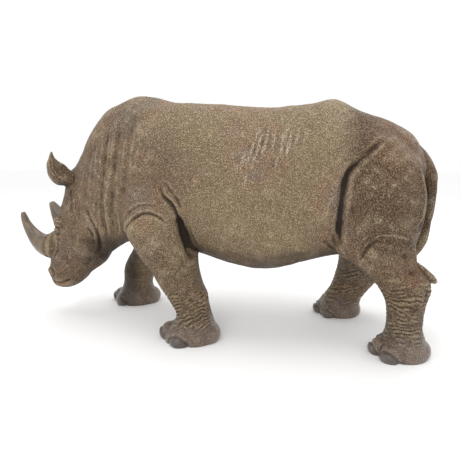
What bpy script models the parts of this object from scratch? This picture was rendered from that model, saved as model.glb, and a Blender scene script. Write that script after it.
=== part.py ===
"""A walking rhinoceros, cast as one hollow resin figure and built here as one solid.

Run it with blender --background --python part.py. Metres, +Z up, the soles on z = 0.
The head is towards -X, the tail towards +X, and the animal's left side is -Y.
Every place on the figure is a share of its shoulder height.
"""

import bpy
import bmesh
import numpy as np
from mathutils import Matrix, Vector

# Driving size: the top of the shoulder hump above the ground, in metres.
SHOULDER_HEIGHT = 0.406

# How finely the figure is made: voxel size as a share of the shoulder height, and faces.
VOXEL = 0.0065
FACE_COUNT = 9300

# Sides of each ring, rings put between two stations, and the smoothing passes that run
# the body's masses together and then soften the joints of the finer forms.
RING_SIDES = 32
RINGS_BETWEEN = 4
BODY_BLEND = 44
DETAIL_BLEND = 5

# The paint over the resin.
HIDE_BROWN = (0.130, 0.095, 0.062, 1.0)
HIDE_ROUGHNESS = 0.55

# Trunk and neck, from the rump to the back of the skull: the ring's top as (x, z),
# its bottom as (x, z), its half width, and how square it is (2 is an ellipse).
TRUNK = [
    ((0.580, 0.700), (0.545, 0.480), 0.060, 2.0),
    ((0.560, 0.768), (0.520, 0.440), 0.130, 2.0),
    ((0.504, 0.842), (0.460, 0.410), 0.190, 2.1),
    ((0.412, 0.885), (0.390, 0.385), 0.225, 2.2),
    ((0.305, 0.927), (0.300, 0.352), 0.240, 2.2),
    ((0.225, 0.964), (0.225, 0.336), 0.246, 2.2),
    ((0.120, 0.953), (0.120, 0.306), 0.262, 2.2),
    ((-0.020, 0.942), (-0.020, 0.270), 0.280, 2.2),
    ((-0.160, 0.949), (-0.150, 0.277), 0.280, 2.2),
    ((-0.300, 0.963), (-0.280, 0.312), 0.262, 2.2),
    ((-0.430, 0.969), (-0.400, 0.346), 0.240, 2.2),
    ((-0.580, 1.005), (-0.530, 0.358), 0.215, 2.1),
    ((-0.668, 0.980), (-0.630, 0.360), 0.195, 2.1),
    ((-0.750, 0.943), (-0.705, 0.348), 0.175, 2.1),
    ((-0.825, 0.862), (-0.765, 0.308), 0.152, 2.1),
    ((-0.882, 0.760), (-0.810, 0.285), 0.132, 2.1),
    ((-0.935, 0.690), (-0.860, 0.300), 0.108, 2.0),
]

# Head, from the poll to the lips: face line, jaw line, half width and squareness.
HEAD = [
    ((-0.945, 0.695), (-0.830, 0.665), 0.060, 2.0),
    ((-0.970, 0.636), (-0.775, 0.590), 0.100, 2.1),
    ((-0.978, 0.568), (-0.755, 0.500), 0.118, 2.2),
    ((-1.005, 0.500), (-0.752, 0.420), 0.124, 2.3),
    ((-1.033, 0.432), (-0.765, 0.345), 0.120, 2.4),
    ((-1.058, 0.370), (-0.799, 0.266), 0.106, 2.4),
    ((-1.070, 0.305), (-0.849, 0.224), 0.094, 2.5),
    ((-1.073, 0.245), (-0.900, 0.190), 0.092, 2.7),
    ((-1.070, 0.190), (-0.930, 0.152), 0.090, 2.9),
    ((-1.053, 0.146), (-0.965, 0.130), 0.076, 2.8),
]

# Legs, from inside the body to the sole: ring centre as (x, z), y, half length fore
# and aft, half width, and the ring's lean in degrees (its front end up).
LEFT_FORELEG = [
    ((-0.500, 0.640), -0.130, 0.130, 0.100, 0),
    ((-0.490, 0.520), -0.165, 0.140, 0.098, 0),
    ((-0.475, 0.430), -0.188, 0.130, 0.094, 0),
    ((-0.434, 0.360), -0.198, 0.126, 0.088, 0),
    ((-0.405, 0.300), -0.202, 0.105, 0.083, 0),
    ((-0.380, 0.240), -0.203, 0.091, 0.077, 0),
    ((-0.354, 0.190), -0.203, 0.090, 0.074, 0),
    ((-0.330, 0.130), -0.203, 0.072, 0.072, 0),
    ((-0.319, 0.095), -0.203, 0.074, 0.077, 0),
    ((-0.331, 0.050), -0.203, 0.099, 0.094, 0),
    ((-0.342, 0.020), -0.203, 0.110, 0.100, 0),
    ((-0.342, -0.020), -0.203, 0.104, 0.094, 0),
]
RIGHT_FORELEG = [
    ((-0.520, 0.640), 0.130, 0.130, 0.100, 0),
    ((-0.555, 0.520), 0.165, 0.135, 0.098, 0),
    ((-0.574, 0.430), 0.188, 0.116, 0.094, 0),
    ((-0.613, 0.350), 0.198, 0.099, 0.088, 0),
    ((-0.655, 0.285), 0.202, 0.086, 0.083, 0),
    ((-0.695, 0.230), 0.203, 0.085, 0.078, 0),
    ((-0.722, 0.170), 0.203, 0.080, 0.074, 0),
    ((-0.730, 0.115), 0.203, 0.075, 0.073, 0),
    ((-0.735, 0.085), 0.203, 0.075, 0.079, 0),
    ((-0.740, 0.046), 0.203, 0.095, 0.094, 0),
    ((-0.746, 0.020), 0.203, 0.110, 0.100, 0),
    ((-0.746, -0.020), 0.203, 0.104, 0.094, 0),
]
LEFT_HINDLEG = [
    ((0.400, 0.740), -0.100, 0.130, 0.110, 0),
    ((0.398, 0.620), -0.140, 0.150, 0.118, 0),
    ((0.388, 0.500), -0.172, 0.152, 0.110, 0),
    ((0.376, 0.420), -0.185, 0.138, 0.100, 0),
    ((0.400, 0.360), -0.193, 0.119, 0.092, 0),
    ((0.443, 0.315), -0.198, 0.112, 0.083, 0),
    ((0.479, 0.270), -0.202, 0.097, 0.076, 0),
    ((0.491, 0.215), -0.203, 0.073, 0.070, 0),
    ((0.492, 0.150), -0.203, 0.064, 0.066, 0),
    ((0.492, 0.100), -0.203, 0.064, 0.068, 0),
    ((0.494, 0.055), -0.203, 0.080, 0.084, 0),
    ((0.486, 0.020), -0.203, 0.098, 0.092, 0),
    ((0.486, -0.020), -0.203, 0.092, 0.086, 0),
]
RIGHT_HINDLEG = [
    ((0.400, 0.740), 0.100, 0.130, 0.110, 0),
    ((0.380, 0.620), 0.140, 0.150, 0.118, 0),
    ((0.355, 0.500), 0.172, 0.148, 0.110, 0),
    ((0.345, 0.420), 0.185, 0.132, 0.100, 0),
    ((0.362, 0.360), 0.193, 0.118, 0.092, 0),
    ((0.383, 0.305), 0.198, 0.110, 0.084, 0),
    ((0.386, 0.250), 0.202, 0.104, 0.077, 6),
    ((0.366, 0.195), 0.203, 0.096, 0.071, 14),
    ((0.340, 0.145), 0.203, 0.083, 0.068, 20),
    ((0.316, 0.098), 0.203, 0.076, 0.070, 16),
    ((0.296, 0.055), 0.203, 0.092, 0.086, 6),
    ((0.288, 0.020), 0.203, 0.098, 0.092, 0),
    ((0.288, -0.020), 0.203, 0.092, 0.086, 0),
]

# Horns and tail: round rings as centre (x, z) and radius, all on the middle plane.
FRONT_HORN = [
    ((-1.050, 0.317), 0.057),
    ((-1.093, 0.324), 0.060),
    ((-1.128, 0.332), 0.050),
    ((-1.154, 0.350), 0.040),
    ((-1.176, 0.374), 0.032),
    ((-1.194, 0.399), 0.026),
    ((-1.211, 0.431), 0.020),
    ((-1.220, 0.460), 0.016),
    ((-1.225, 0.483), 0.010),
]
REAR_HORN = [
    ((-0.984, 0.400), 0.050),
    ((-1.005, 0.429), 0.049),
    ((-1.029, 0.465), 0.038),
    ((-1.052, 0.502), 0.025),
    ((-1.070, 0.534), 0.013),
]
TAIL = [
    ((0.505, 0.750), 0.060),
    ((0.555, 0.722), 0.045),
    ((0.595, 0.672), 0.031),
    ((0.609, 0.610), 0.022),
    ((0.610, 0.550), 0.018),
    ((0.601, 0.480), 0.017),
    ((0.587, 0.410), 0.021),
    ((0.571, 0.365), 0.019),
    ((0.553, 0.325), 0.010),
]

# Ears: leaf-shaped shells, from the root to the tip, as centre (x, y, z), half width as
# (x, z) and half thickness. The far ear is the near one's mirror image, laid back.
NEAR_EAR = [
    ((-0.895, -0.070, 0.640), (-0.006, -0.028), 0.024),
    ((-0.925, -0.095, 0.648), (-0.014, -0.036), 0.018),
    ((-0.953, -0.110, 0.660), (-0.030, -0.042), 0.014),
    ((-0.970, -0.120, 0.686), (-0.041, -0.027), 0.012),
    ((-0.975, -0.124, 0.716), (-0.030, -0.008), 0.011),
    ((-0.973, -0.124, 0.743), (-0.011, -0.001), 0.010),
    ((-0.970, -0.122, 0.766), (-0.003, 0.000), 0.007),
]
EAR_CUP = 0.028
EAR_ROOT = (-0.900, 0.080, 0.645)
FAR_EAR_LAID_BACK = 45

# Rounded masses that swell the body: centre, radii, and turn about Y in degrees.
BODY_MASSES = [
    ((-0.850, -0.062, 0.400), (0.095, 0.066, 0.140), 20),
    ((-0.850, 0.062, 0.400), (0.095, 0.066, 0.140), 20),
    ((0.380, -0.120, 0.590), (0.178, 0.145, 0.245), -8),
    ((0.370, 0.120, 0.590), (0.178, 0.145, 0.245), -8),
    ((-0.480, -0.100, 0.670), (0.220, 0.135, 0.250), -12),
    ((-0.500, 0.100, 0.670), (0.220, 0.135, 0.250), -4),
    ((0.300, -0.200, 0.430), (0.075, 0.060, 0.080), 0),
    ((0.280, 0.200, 0.430), (0.075, 0.060, 0.080), 0),
]

# Smaller masses that stay distinct: the boss under the front horn, the brows, the eyes,
# the nostril rims, the caps of the stifles and the points of the hocks.
DETAIL_MASSES = [
    ((-1.052, 0.0, 0.326), (0.052, 0.078, 0.072), 0),
    ((-0.967, -0.092, 0.452), (0.040, 0.025, 0.024), 20),
    ((-0.967, 0.092, 0.452), (0.040, 0.025, 0.024), 20),
    ((-0.984, -0.094, 0.424), (0.018, 0.015, 0.015), 0),
    ((-0.984, 0.094, 0.424), (0.018, 0.015, 0.015), 0),
    ((-1.040, -0.066, 0.214), (0.026, 0.024, 0.030), 0),
    ((-1.040, 0.066, 0.214), (0.026, 0.024, 0.030), 0),
    ((0.356, -0.256, 0.402), (0.036, 0.034, 0.042), -20),
    ((0.336, 0.256, 0.402), (0.036, 0.034, 0.042), -20),
    ((0.555, -0.203, 0.319), (0.054, 0.024, 0.017), 42),
    ((0.460, 0.203, 0.282), (0.050, 0.024, 0.017), 42),
]

# Feet: centre (x, y) of each. A foot's lobes are given for the left side, from that
# centre: the middle, outer and inner toes and the heel pad, as centre, radii and turn
# about Z in degrees.
FOREFEET = [(-0.342, -0.203), (-0.746, 0.203)]
HIND_FEET = [(0.486, -0.203), (0.288, 0.203)]
FORE_TOES = [
    ((-0.072, -0.004, 0.023), (0.057, 0.050, 0.042), 0),
    ((-0.014, -0.057, 0.021), (0.058, 0.047, 0.045), 70),
    ((-0.030, 0.060, 0.022), (0.056, 0.040, 0.044), -55),
    ((0.073, 0.000, 0.026), (0.054, 0.072, 0.049), 0),
]
HIND_TOES = [
    ((-0.080, -0.002, 0.024), (0.057, 0.048, 0.044), 0),
    ((-0.044, -0.062, 0.021), (0.060, 0.049, 0.047), 48),
    ((-0.038, 0.062, 0.022), (0.058, 0.040, 0.044), -45),
    ((0.071, 0.000, 0.028), (0.052, 0.072, 0.048), 0),
]
HIND_FOOT_SCALE = 0.87

# Folds and creases: which side (-1 left, 1 right, 0 both), depth, half width, how far the
# hide swells beside it on the left hand of its run, and its points as (x, z).
FOLDS = [
    # Over the upper foreleg.
    (-1, 0.012, 0.009, 0.7,
     [(-0.636, 0.392), (-0.596, 0.432), (-0.581, 0.465), (-0.552, 0.495), (-0.520, 0.516),
      (-0.489, 0.524), (-0.454, 0.515), (-0.427, 0.498), (-0.404, 0.474)]),
    (1, 0.012, 0.009, 0.7,
     [(-0.700, 0.420), (-0.668, 0.465), (-0.640, 0.495), (-0.605, 0.516), (-0.570, 0.522),
      (-0.535, 0.512), (-0.508, 0.492)]),
    # Behind the foreleg, up from the armpit.
    (-1, 0.016, 0.010, 0.5,
     [(-0.450, 0.640), (-0.430, 0.591), (-0.401, 0.562), (-0.381, 0.530), (-0.368, 0.490),
      (-0.356, 0.450), (-0.340, 0.405), (-0.320, 0.370), (-0.300, 0.345)]),
    (-1, 0.018, 0.020, 0.0,
     [(-0.376, 0.520), (-0.360, 0.475), (-0.343, 0.425), (-0.323, 0.375), (-0.303, 0.335)]),
    (1, 0.018, 0.011, 0.5,
     [(-0.490, 0.632), (-0.474, 0.591), (-0.460, 0.545), (-0.452, 0.495), (-0.450, 0.440),
      (-0.455, 0.390), (-0.460, 0.350)]),
    # Where the flank tucks in before the thigh.
    (-1, 0.012, 0.013, 0.4,
     [(0.358, 0.795), (0.325, 0.748), (0.293, 0.725), (0.267, 0.697), (0.252, 0.660),
      (0.245, 0.610), (0.240, 0.560), (0.236, 0.500), (0.235, 0.440), (0.240, 0.400)]),
    (-1, 0.008, 0.013, 0.0,
     [(0.240, 0.660), (0.224, 0.600), (0.213, 0.540), (0.206, 0.480), (0.204, 0.430)]),
    (1, 0.012, 0.013, -0.4,
     [(0.338, 0.795), (0.305, 0.748), (0.273, 0.725), (0.247, 0.697), (0.232, 0.660),
      (0.225, 0.610), (0.220, 0.560), (0.216, 0.500), (0.215, 0.440), (0.220, 0.400)]),
    # Over the stifle and in front of the hock's tendon.
    (-1, 0.007, 0.008, 0.6,
     [(0.322, 0.372), (0.326, 0.395), (0.342, 0.425), (0.372, 0.443), (0.405, 0.449),
      (0.440, 0.446), (0.478, 0.430)]),
    (1, 0.007, 0.008, 0.6,
     [(0.302, 0.372), (0.306, 0.395), (0.322, 0.425), (0.352, 0.443), (0.385, 0.449),
      (0.420, 0.446), (0.450, 0.430)]),
    (-1, 0.012, 0.013, 0.0,
     [(0.462, 0.392), (0.476, 0.366), (0.490, 0.342), (0.510, 0.318), (0.530, 0.305)]),
    # The neck's upright folds.
    (0, 0.006, 0.019, 0.4,
     [(-0.782, 0.800), (-0.790, 0.740), (-0.802, 0.680), (-0.812, 0.610), (-0.815, 0.540)]),
    (0, 0.009, 0.017, 0.4,
     [(-0.700, 0.880), (-0.700, 0.800), (-0.705, 0.720), (-0.714, 0.640), (-0.732, 0.555),
      (-0.738, 0.480), (-0.750, 0.395)]),
    (0, 0.007, 0.018, 0.4,
     [(-0.636, 0.930), (-0.640, 0.840), (-0.648, 0.740), (-0.660, 0.640), (-0.676, 0.540),
      (-0.690, 0.440), (-0.705, 0.370)]),
    (0, 0.005, 0.019, 0.4,
     [(-0.570, 0.930), (-0.575, 0.840), (-0.586, 0.740), (-0.602, 0.640), (-0.616, 0.560)]),
    # Behind the jaw, on the cheek, below the eye, round the boss, and the mouth.
    (0, 0.009, 0.010, -0.35,
     [(-0.822, 0.540), (-0.800, 0.497), (-0.782, 0.458), (-0.774, 0.419), (-0.774, 0.378),
      (-0.786, 0.337), (-0.815, 0.300)]),
    (0, 0.006, 0.007, 0.0, [(-0.818, 0.440), (-0.806, 0.422), (-0.795, 0.400)]),
    (0, 0.007, 0.007, 0.0,
     [(-0.997, 0.420), (-0.990, 0.402), (-0.980, 0.382), (-0.974, 0.362)]),
    (0, 0.008, 0.008, 0.4,
     [(-1.030, 0.278), (-1.006, 0.308), (-0.990, 0.338), (-0.986, 0.366), (-0.998, 0.396)]),
    (0, 0.006, 0.007, 0.0,
     [(-1.052, 0.178), (-1.025, 0.168), (-0.998, 0.166), (-0.966, 0.177), (-0.935, 0.190)]),
]


def clear_scene():
    for old in list(bpy.data.objects):
        bpy.data.objects.remove(old)


def between(stations, steps):
    """Rows of numbers, with smooth rows put between each pair by a Catmull-Rom curve."""
    rows = np.array(stations, float)
    padded = np.vstack([2 * rows[0] - rows[1], rows, 2 * rows[-1] - rows[-2]])
    made = []
    for before, start, end, after in zip(padded, padded[1:], padded[2:], padded[3:]):
        for t in np.linspace(0.0, 1.0, steps, endpoint=False):
            made.append(
                0.5 * (2 * start + (end - before) * t
                       + (2 * before - 5 * start + 4 * end - after) * t ** 2
                       + (3 * start - before - 3 * end + after) * t ** 3)
            )
    return np.vstack([made, rows[-1]])


def ring(centre, long_axis, side_axis, squareness=2.0, egg=0.0, cup=0.0):
    """One ring of a form: its long half axis, its side half axis, and its shape."""
    return (*centre, *long_axis, *side_axis, squareness, egg, cup)


def profile_rings(stations, egg):
    """Rings of the trunk or head, narrower above than below by the egg share."""
    rows = []
    for (top_x, top_z), (low_x, low_z), half_width, squareness in stations:
        centre = ((top_x + low_x) / 2, 0.0, (top_z + low_z) / 2)
        long_axis = ((top_x - low_x) / 2, 0.0, (top_z - low_z) / 2)
        rows.append(ring(centre, long_axis, (0.0, half_width, 0.0), squareness, egg))
    return rows


def leg_rings(stations):
    """Rings of a leg, each lying flat but for its lean."""
    rows = []
    for (x, z), y, half_length, half_width, lean in stations:
        turn = np.radians(lean)
        long_axis = (-half_length * np.cos(turn), 0.0, half_length * np.sin(turn))
        rows.append(ring((x, y, z), long_axis, (0.0, half_width, 0.0), 2.2))
    return rows


def round_rings(stations):
    """Rings of a horn or the tail, square to the line through their centres."""
    centres = np.array([(x, 0.0, z) for (x, z), _ in stations])
    along = np.gradient(centres, axis=0)
    along /= np.linalg.norm(along, axis=1)[:, None]
    rows = []
    for centre, way, (_, radius) in zip(centres, along, stations):
        across = np.cross(way, (0.0, 1.0, 0.0)) * radius
        rows.append(ring(centre, across, (0.0, radius, 0.0)))
    return rows


def ear_rings(stations):
    """Rings of a thin shell whose edges bend inwards like a cupped leaf."""
    rows = []
    for centre, (wide_x, wide_z), thickness in stations:
        cup = -EAR_CUP * np.hypot(wide_x, wide_z) / 0.048 / thickness
        rows.append(ring(centre, (wide_x, 0.0, wide_z), (0.0, -thickness, 0.0), cup=cup))
    return rows


def add_loft(bm, rings):
    """Adds a closed skin through the rings and gives back its vertices."""
    edge_loops = []
    vertices = []
    for row in between(rings, RINGS_BETWEEN):
        centre, long_axis, side_axis = row[0:3], row[3:6], row[6:9]
        squareness, egg, cup = row[9:12]
        circle = bmesh.ops.create_circle(bm, segments=RING_SIDES, radius=1.0)["verts"]
        for vertex in circle:
            across, up = vertex.co.x, vertex.co.y
            across = np.copysign(abs(across) ** (2.0 / squareness), across)
            up = np.copysign(abs(up) ** (2.0 / squareness), up)
            across = across * (1 - egg * up) + cup * up ** 2
            vertex.co = Vector(centre + long_axis * up + side_axis * across)
        edge_loops.append(list({edge for vertex in circle for edge in vertex.link_edges}))
        vertices += circle
    for first, second in zip(edge_loops, edge_loops[1:]):
        bmesh.ops.bridge_loops(bm, edges=first + second)
    for end in (edge_loops[0], edge_loops[-1]):
        bmesh.ops.edgeloop_fill(bm, edges=end)
    return vertices


def add_mass(bm, centre, radii, turn, axis="Y"):
    """Adds a rounded mass at its place."""
    place = (
        Matrix.Translation(centre)
        @ Matrix.Rotation(np.radians(turn), 4, axis)
        @ Matrix.Diagonal(radii).to_4x4()
    )
    bmesh.ops.create_icosphere(bm, subdivisions=4, radius=1.0, matrix=place)


def add_ears(bm):
    """Adds the near ear, and its mirror image laid back about its root."""
    add_loft(bm, ear_rings(NEAR_EAR))
    far_ear = add_loft(bm, ear_rings(NEAR_EAR))
    root = Vector(EAR_ROOT)
    place = (
        Matrix.Translation(root)
        @ Matrix.Rotation(np.radians(FAR_EAR_LAID_BACK), 4, "Y")
        @ Matrix.Translation(-root)
        @ Matrix.Scale(-1.0, 4, (0.0, 1.0, 0.0))
    )
    bmesh.ops.transform(bm, matrix=place, verts=far_ear)


def add_toes(bm, foot, toes, scale):
    """Adds the three toes and the heel pad of one foot."""
    x, y = foot
    side = np.sign(-y)
    for (ahead, across, up), radii, turn in toes:
        centre = (x + ahead * scale, y + across * side * scale, up * scale)
        add_mass(bm, centre, Vector(radii) * scale, turn * side, "Z")


def merge_into(figure, bm, smoothing):
    """Runs everything in the mesh together into one smooth skin on the figure."""
    bmesh.ops.recalc_face_normals(bm, faces=bm.faces)
    bm.to_mesh(figure.data)
    bm.free()
    skin = figure.modifiers.new("one_skin", "REMESH")
    skin.mode = "VOXEL"
    skin.voxel_size = VOXEL
    blend = figure.modifiers.new("blend", "SMOOTH")
    blend.factor = 0.5
    blend.iterations = smoothing
    bake_modifiers(figure)


def bake_modifiers(figure):
    """Makes the modifiers' result the object's own mesh."""
    graph = bpy.context.evaluated_depsgraph_get()
    baked = bpy.data.meshes.new_from_object(figure.evaluated_get(graph))
    figure.modifiers.clear()
    figure.data = baked


def add_body(figure):
    """The trunk, head, legs and big muscles, blended softly."""
    bm = bmesh.new()
    add_loft(bm, profile_rings(TRUNK, 0.14))
    add_loft(bm, profile_rings(HEAD, 0.0))
    for leg in (LEFT_FORELEG, RIGHT_FORELEG, LEFT_HINDLEG, RIGHT_HINDLEG):
        add_loft(bm, leg_rings(leg))
    for mass in BODY_MASSES:
        add_mass(bm, *mass)
    merge_into(figure, bm, BODY_BLEND)


def add_details(figure):
    """Horns, tail, ears, toes and the small masses, joined to the body more crisply."""
    bm = bmesh.new()
    bm.from_mesh(figure.data)
    for form in (FRONT_HORN, REAR_HORN, TAIL):
        add_loft(bm, round_rings(form))
    add_ears(bm)
    for mass in DETAIL_MASSES:
        add_mass(bm, *mass)
    for foot in FOREFEET:
        add_toes(bm, foot, FORE_TOES, 1.0)
    for foot in HIND_FEET:
        add_toes(bm, foot, HIND_TOES, HIND_FOOT_SCALE)
    merge_into(figure, bm, DETAIL_BLEND)


def nearest_on_run(places, run):
    """For each place: how far it is from the run, which hand it lies on, and its share."""
    best = np.full(len(places), np.inf)
    hand = np.ones(len(places))
    share = np.zeros(len(places))
    lengths = np.linalg.norm(np.diff(run, axis=0), axis=1)
    reached = np.concatenate([[0.0], np.cumsum(lengths)])
    for start, end, length, before in zip(run, run[1:], lengths, reached):
        way = (end - start) / length
        offset = places - start
        along = np.clip(offset @ way, 0.0, length)
        gap = np.linalg.norm(offset - along[:, None] * way, axis=1)
        closer = gap < best
        best[closer] = gap[closer]
        turned = way[0] * offset[:, 1] - way[1] * offset[:, 0]
        hand[closer] = np.sign(turned[closer])
        share[closer] = (before + along[closer]) / reached[-1]
    return best, hand, share


def carve_folds(figure):
    """Presses each fold into the hide and swells the hide beside it."""
    mesh = figure.data
    count = len(mesh.vertices)
    places = np.zeros(count * 3)
    mesh.vertices.foreach_get("co", places)
    places = places.reshape(count, 3)
    normals = np.zeros(count * 3)
    mesh.vertices.foreach_get("normal", normals)
    normals = normals.reshape(count, 3)
    depth_in = np.zeros(count)
    for side, depth, half_width, swell, points in FOLDS:
        gap, hand, share = nearest_on_run(places[:, [0, 2]], between(points, RINGS_BETWEEN))
        ends = np.clip(np.minimum(share, 1 - share) / 0.18, 0.0, 1.0)
        taper = ends * ends * (3 - 2 * ends)
        outward = normals[:, 1] * (side if side else np.sign(places[:, 1]))
        facing = np.clip((outward - 0.1) / 0.3, 0.0, 1.0)
        on_side = places[:, 1] * side >= 0
        groove = np.exp(-(gap / half_width) ** 2)
        beside = np.exp(-((gap * hand * np.sign(swell) - 2.2 * half_width) / half_width) ** 2)
        depth_in += depth * (groove - abs(swell) * beside) * taper * facing * on_side
    places -= normals * depth_in[:, None]
    mesh.vertices.foreach_set("co", places.ravel())
    mesh.update()


def ground_cutter():
    """A block whose top is the ground, to cut the soles flat."""
    mesh = bpy.data.meshes.new("ground_cutter")
    bm = bmesh.new()
    block = Matrix.Translation((0.0, 0.0, -0.25)) @ Matrix.Diagonal((4.0, 2.0, 0.5, 1.0))
    bmesh.ops.create_cube(bm, size=1.0, matrix=block)
    bm.to_mesh(mesh)
    bm.free()
    cutter = bpy.data.objects.new("ground_cutter", mesh)
    bpy.context.scene.collection.objects.link(cutter)
    return cutter


def finish_figure(figure):
    """Thins the faces, cuts the soles flat, and puts the figure at its size and place."""
    fewer = figure.modifiers.new("fewer_faces", "DECIMATE")
    fewer.ratio = FACE_COUNT / (2 * len(figure.data.polygons))
    cutter = ground_cutter()
    soles = figure.modifiers.new("flat_soles", "BOOLEAN")
    soles.operation = "DIFFERENCE"
    soles.object = cutter
    bake_modifiers(figure)
    bpy.data.objects.remove(cutter)
    corners = np.array([vertex.co for vertex in figure.data.vertices])
    middle = (corners.min(axis=0) + corners.max(axis=0)) / 2
    to_middle = Matrix.Translation((-middle[0], -middle[1], 0.0))
    figure.data.transform(Matrix.Scale(SHOULDER_HEIGHT, 4) @ to_middle)


def paint_figure(figure):
    """Gives the figure its painted finish."""
    hide = bpy.data.materials.new("hide")
    hide.use_nodes = True
    shader = hide.node_tree.nodes["Principled BSDF"]
    shader.inputs["Base Color"].default_value = HIDE_BROWN
    shader.inputs["Roughness"].default_value = HIDE_ROUGHNESS
    shader.inputs["Metallic"].default_value = 0.0
    figure.data.materials.append(hide)


def main():
    clear_scene()
    figure = bpy.data.objects.new("rhinoceros", bpy.data.meshes.new("rhinoceros"))
    bpy.context.scene.collection.objects.link(figure)
    add_body(figure)
    add_details(figure)
    carve_folds(figure)
    finish_figure(figure)
    paint_figure(figure)


main()
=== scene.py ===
"""The looks of a cast resin rhinoceros: its hide, horns, nails and eyes, and the view.

The figure is modelled again here from the stations of its solid, with the fine wrinkles of
the hide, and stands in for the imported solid. Places are shares of the shoulder height until
the figure is put at its size.
"""

import bmesh
import bpy
import numpy as np
from mathutils import Matrix, Vector

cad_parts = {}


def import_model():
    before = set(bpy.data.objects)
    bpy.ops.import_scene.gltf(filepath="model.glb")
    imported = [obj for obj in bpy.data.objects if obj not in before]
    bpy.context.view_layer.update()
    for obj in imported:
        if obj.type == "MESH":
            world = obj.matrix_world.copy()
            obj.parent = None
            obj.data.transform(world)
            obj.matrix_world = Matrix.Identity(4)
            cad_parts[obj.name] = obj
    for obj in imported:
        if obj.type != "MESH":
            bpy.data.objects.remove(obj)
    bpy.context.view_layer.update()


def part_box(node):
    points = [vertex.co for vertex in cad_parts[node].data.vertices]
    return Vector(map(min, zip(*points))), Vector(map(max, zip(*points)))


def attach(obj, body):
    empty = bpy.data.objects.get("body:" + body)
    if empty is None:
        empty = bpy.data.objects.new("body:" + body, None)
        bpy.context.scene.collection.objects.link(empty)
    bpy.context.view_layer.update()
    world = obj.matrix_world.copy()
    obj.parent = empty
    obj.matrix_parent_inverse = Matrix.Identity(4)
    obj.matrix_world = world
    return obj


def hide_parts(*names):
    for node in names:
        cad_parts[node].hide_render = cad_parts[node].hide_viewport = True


# Driving size: the top of the shoulder hump above the ground, in metres.
SHOULDER_HEIGHT = 0.406

# Voxel sizes of the body and of the finer forms, and the faces that the figure keeps.
BODY_VOXEL = 0.0065
DETAIL_VOXEL = 0.0040
FACE_COUNT = 190000

# Sides of a form's ring, rings put between two stations, and the passes that smooth the
# body and the finer forms.
RING_SIDES = 32
RINGS_BETWEEN = 4
BODY_BLEND = 44
DETAIL_BLEND = 9

# The camera that took the photograph, as shares of the shoulder height from the middle of
# the figure's feet, and its angles: behind the square side view, and downwards.
CAMERA_PLACE = (0.397, -1.72, 0.72)
CAMERA_TURN = 10.0
CAMERA_PITCH = 9.6
FOCAL_PIXELS = 400.0
FRAME_PIXELS = 460.0
SENSOR_WIDTH = 36.0

# Soft boxes: name, place and size in metres, watts and colour; and the pale surrounding.
SOFT_LIGHTS = [
    ("key", (-0.35, -1.60, 1.70), 0.9, 10.0, (1.0, 0.985, 0.96)),
    ("overhead", (0.0, 0.15, 1.90), 1.5, 10.5, (1.0, 1.0, 1.0)),
    ("rear", (1.0, 1.4, 1.0), 1.2, 4.0, (0.97, 0.985, 1.0)),
]
WORLD_STRENGTH = 1.0
FLOOR_COLOUR = (0.97, 0.97, 0.97)

# The hide's grain in metres, how much of it is fine, how far its grains are domed and how
# dark its creases are.
PEBBLE = 0.0016
FINE_PEBBLE = 0.0010
FINE_SHARE = 0.40
DOME_HEIGHT = 0.35
GAP_STRENGTH = 0.75

# How many times in a metre each unevenness of the paint and hide repeats, along x, y and z
# where these differ, and how the cracks are stretched.
PATCHES = 8.0
CLOUDS = 17.0
BRUSH_STROKES = (95.0, 95.0, 13.0)
SHANK_WRINKLES = (170.0, 170.0, 560.0)
RING_DASHES = 190.0
HORN_STREAKS = (55.0, 120.0, 20.0)
NAIL_MOTTLE = 60.0
SHEEN_MOTTLE = 40.0
EYE_MOTTLE = 300.0
CRACKS = 75.0
CRACK_SHAPE = (1.0, 1.0, 0.55)

# How much light paint the grain's tops take: everywhere, in clouds, where they face up, which
# is also painted light from above, and in strokes, and how much of it is tan.
TOP_BRUSHING = 0.37
CLOUD_BRUSHING = 0.10
UPWARD_BRUSHING_AND_TOP_LIGHT = 0.32
STROKE_BRUSHING = 0.70
TOP_TAN = 0.35

# How well the rings' dashes with their painted glints, the ribs' flecks and the dark wash and
# painted
# shade cover what is below: the wash between the rings, wash and painted shade in the creases, and
# painted shade in the shaded parts.
DASH_COVER = 0.78
FLECK_COVER = 0.80
DENT_WASH = 0.72
RECESS_WASH_AND_SHADE = 0.95
SHADE_WASH = 0.64

# Paint colours. The hide's patches of khaki, brown, red brown and grey brown, as stops of a
# ramp; and the browns over them: which of the mesh's shares, how well it covers, and colour.
PATCH_STOPS = [
    (0.38, (0.266, 0.202, 0.116)),
    (0.47, (0.250, 0.184, 0.114)),
    (0.55, (0.262, 0.172, 0.106)),
    (0.64, (0.228, 0.176, 0.134)),
]
BROWN_COATS = [
    # The dark brown also lays painted shade under the head and where the hide faces down.
    ("dark", 1.00, (0.070, 0.034, 0.016)),
    ("rust", 0.75, (0.165, 0.078, 0.034)),
    ("hock", 0.55, (0.170, 0.066, 0.034)),
    ("foot", 0.92, (0.134, 0.093, 0.075)),
]

# How the grain's creases darken and its tops lighten the paint, and what lies on ridges,
# rings and ribs and in folds.
GAP_SHADE = (0.46, 0.43, 0.40)
TOP_GLOW = (2.20, 2.16, 2.06)
BRUSHED_TAN = (0.500, 0.400, 0.260)
# Brushed gold on the rings' crests, and painted glints on the shanks' wrinkles.
RING_GOLD = (0.480, 0.370, 0.210)
RIB_TAN = (0.600, 0.510, 0.380)
# Dark wash, and painted shade in the folds, under the head and body and along the shadow lines.
WASH_AND_SHADE_BROWN = (0.034, 0.022, 0.015)

# Horn, nails and eyes, from their dark stops to their light ones.
HORN_STOPS = [
    (0.34, (0.082, 0.060, 0.042)),
    (0.50, (0.128, 0.092, 0.060)),
    (0.66, (0.195, 0.138, 0.080)),
]
NAIL_STOPS = [(0.40, (0.082, 0.063, 0.053)), (0.62, (0.130, 0.103, 0.086))]
EYE_STOPS = [(0.35, (0.006, 0.004, 0.003)), (0.70, (0.030, 0.018, 0.010))]
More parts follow.
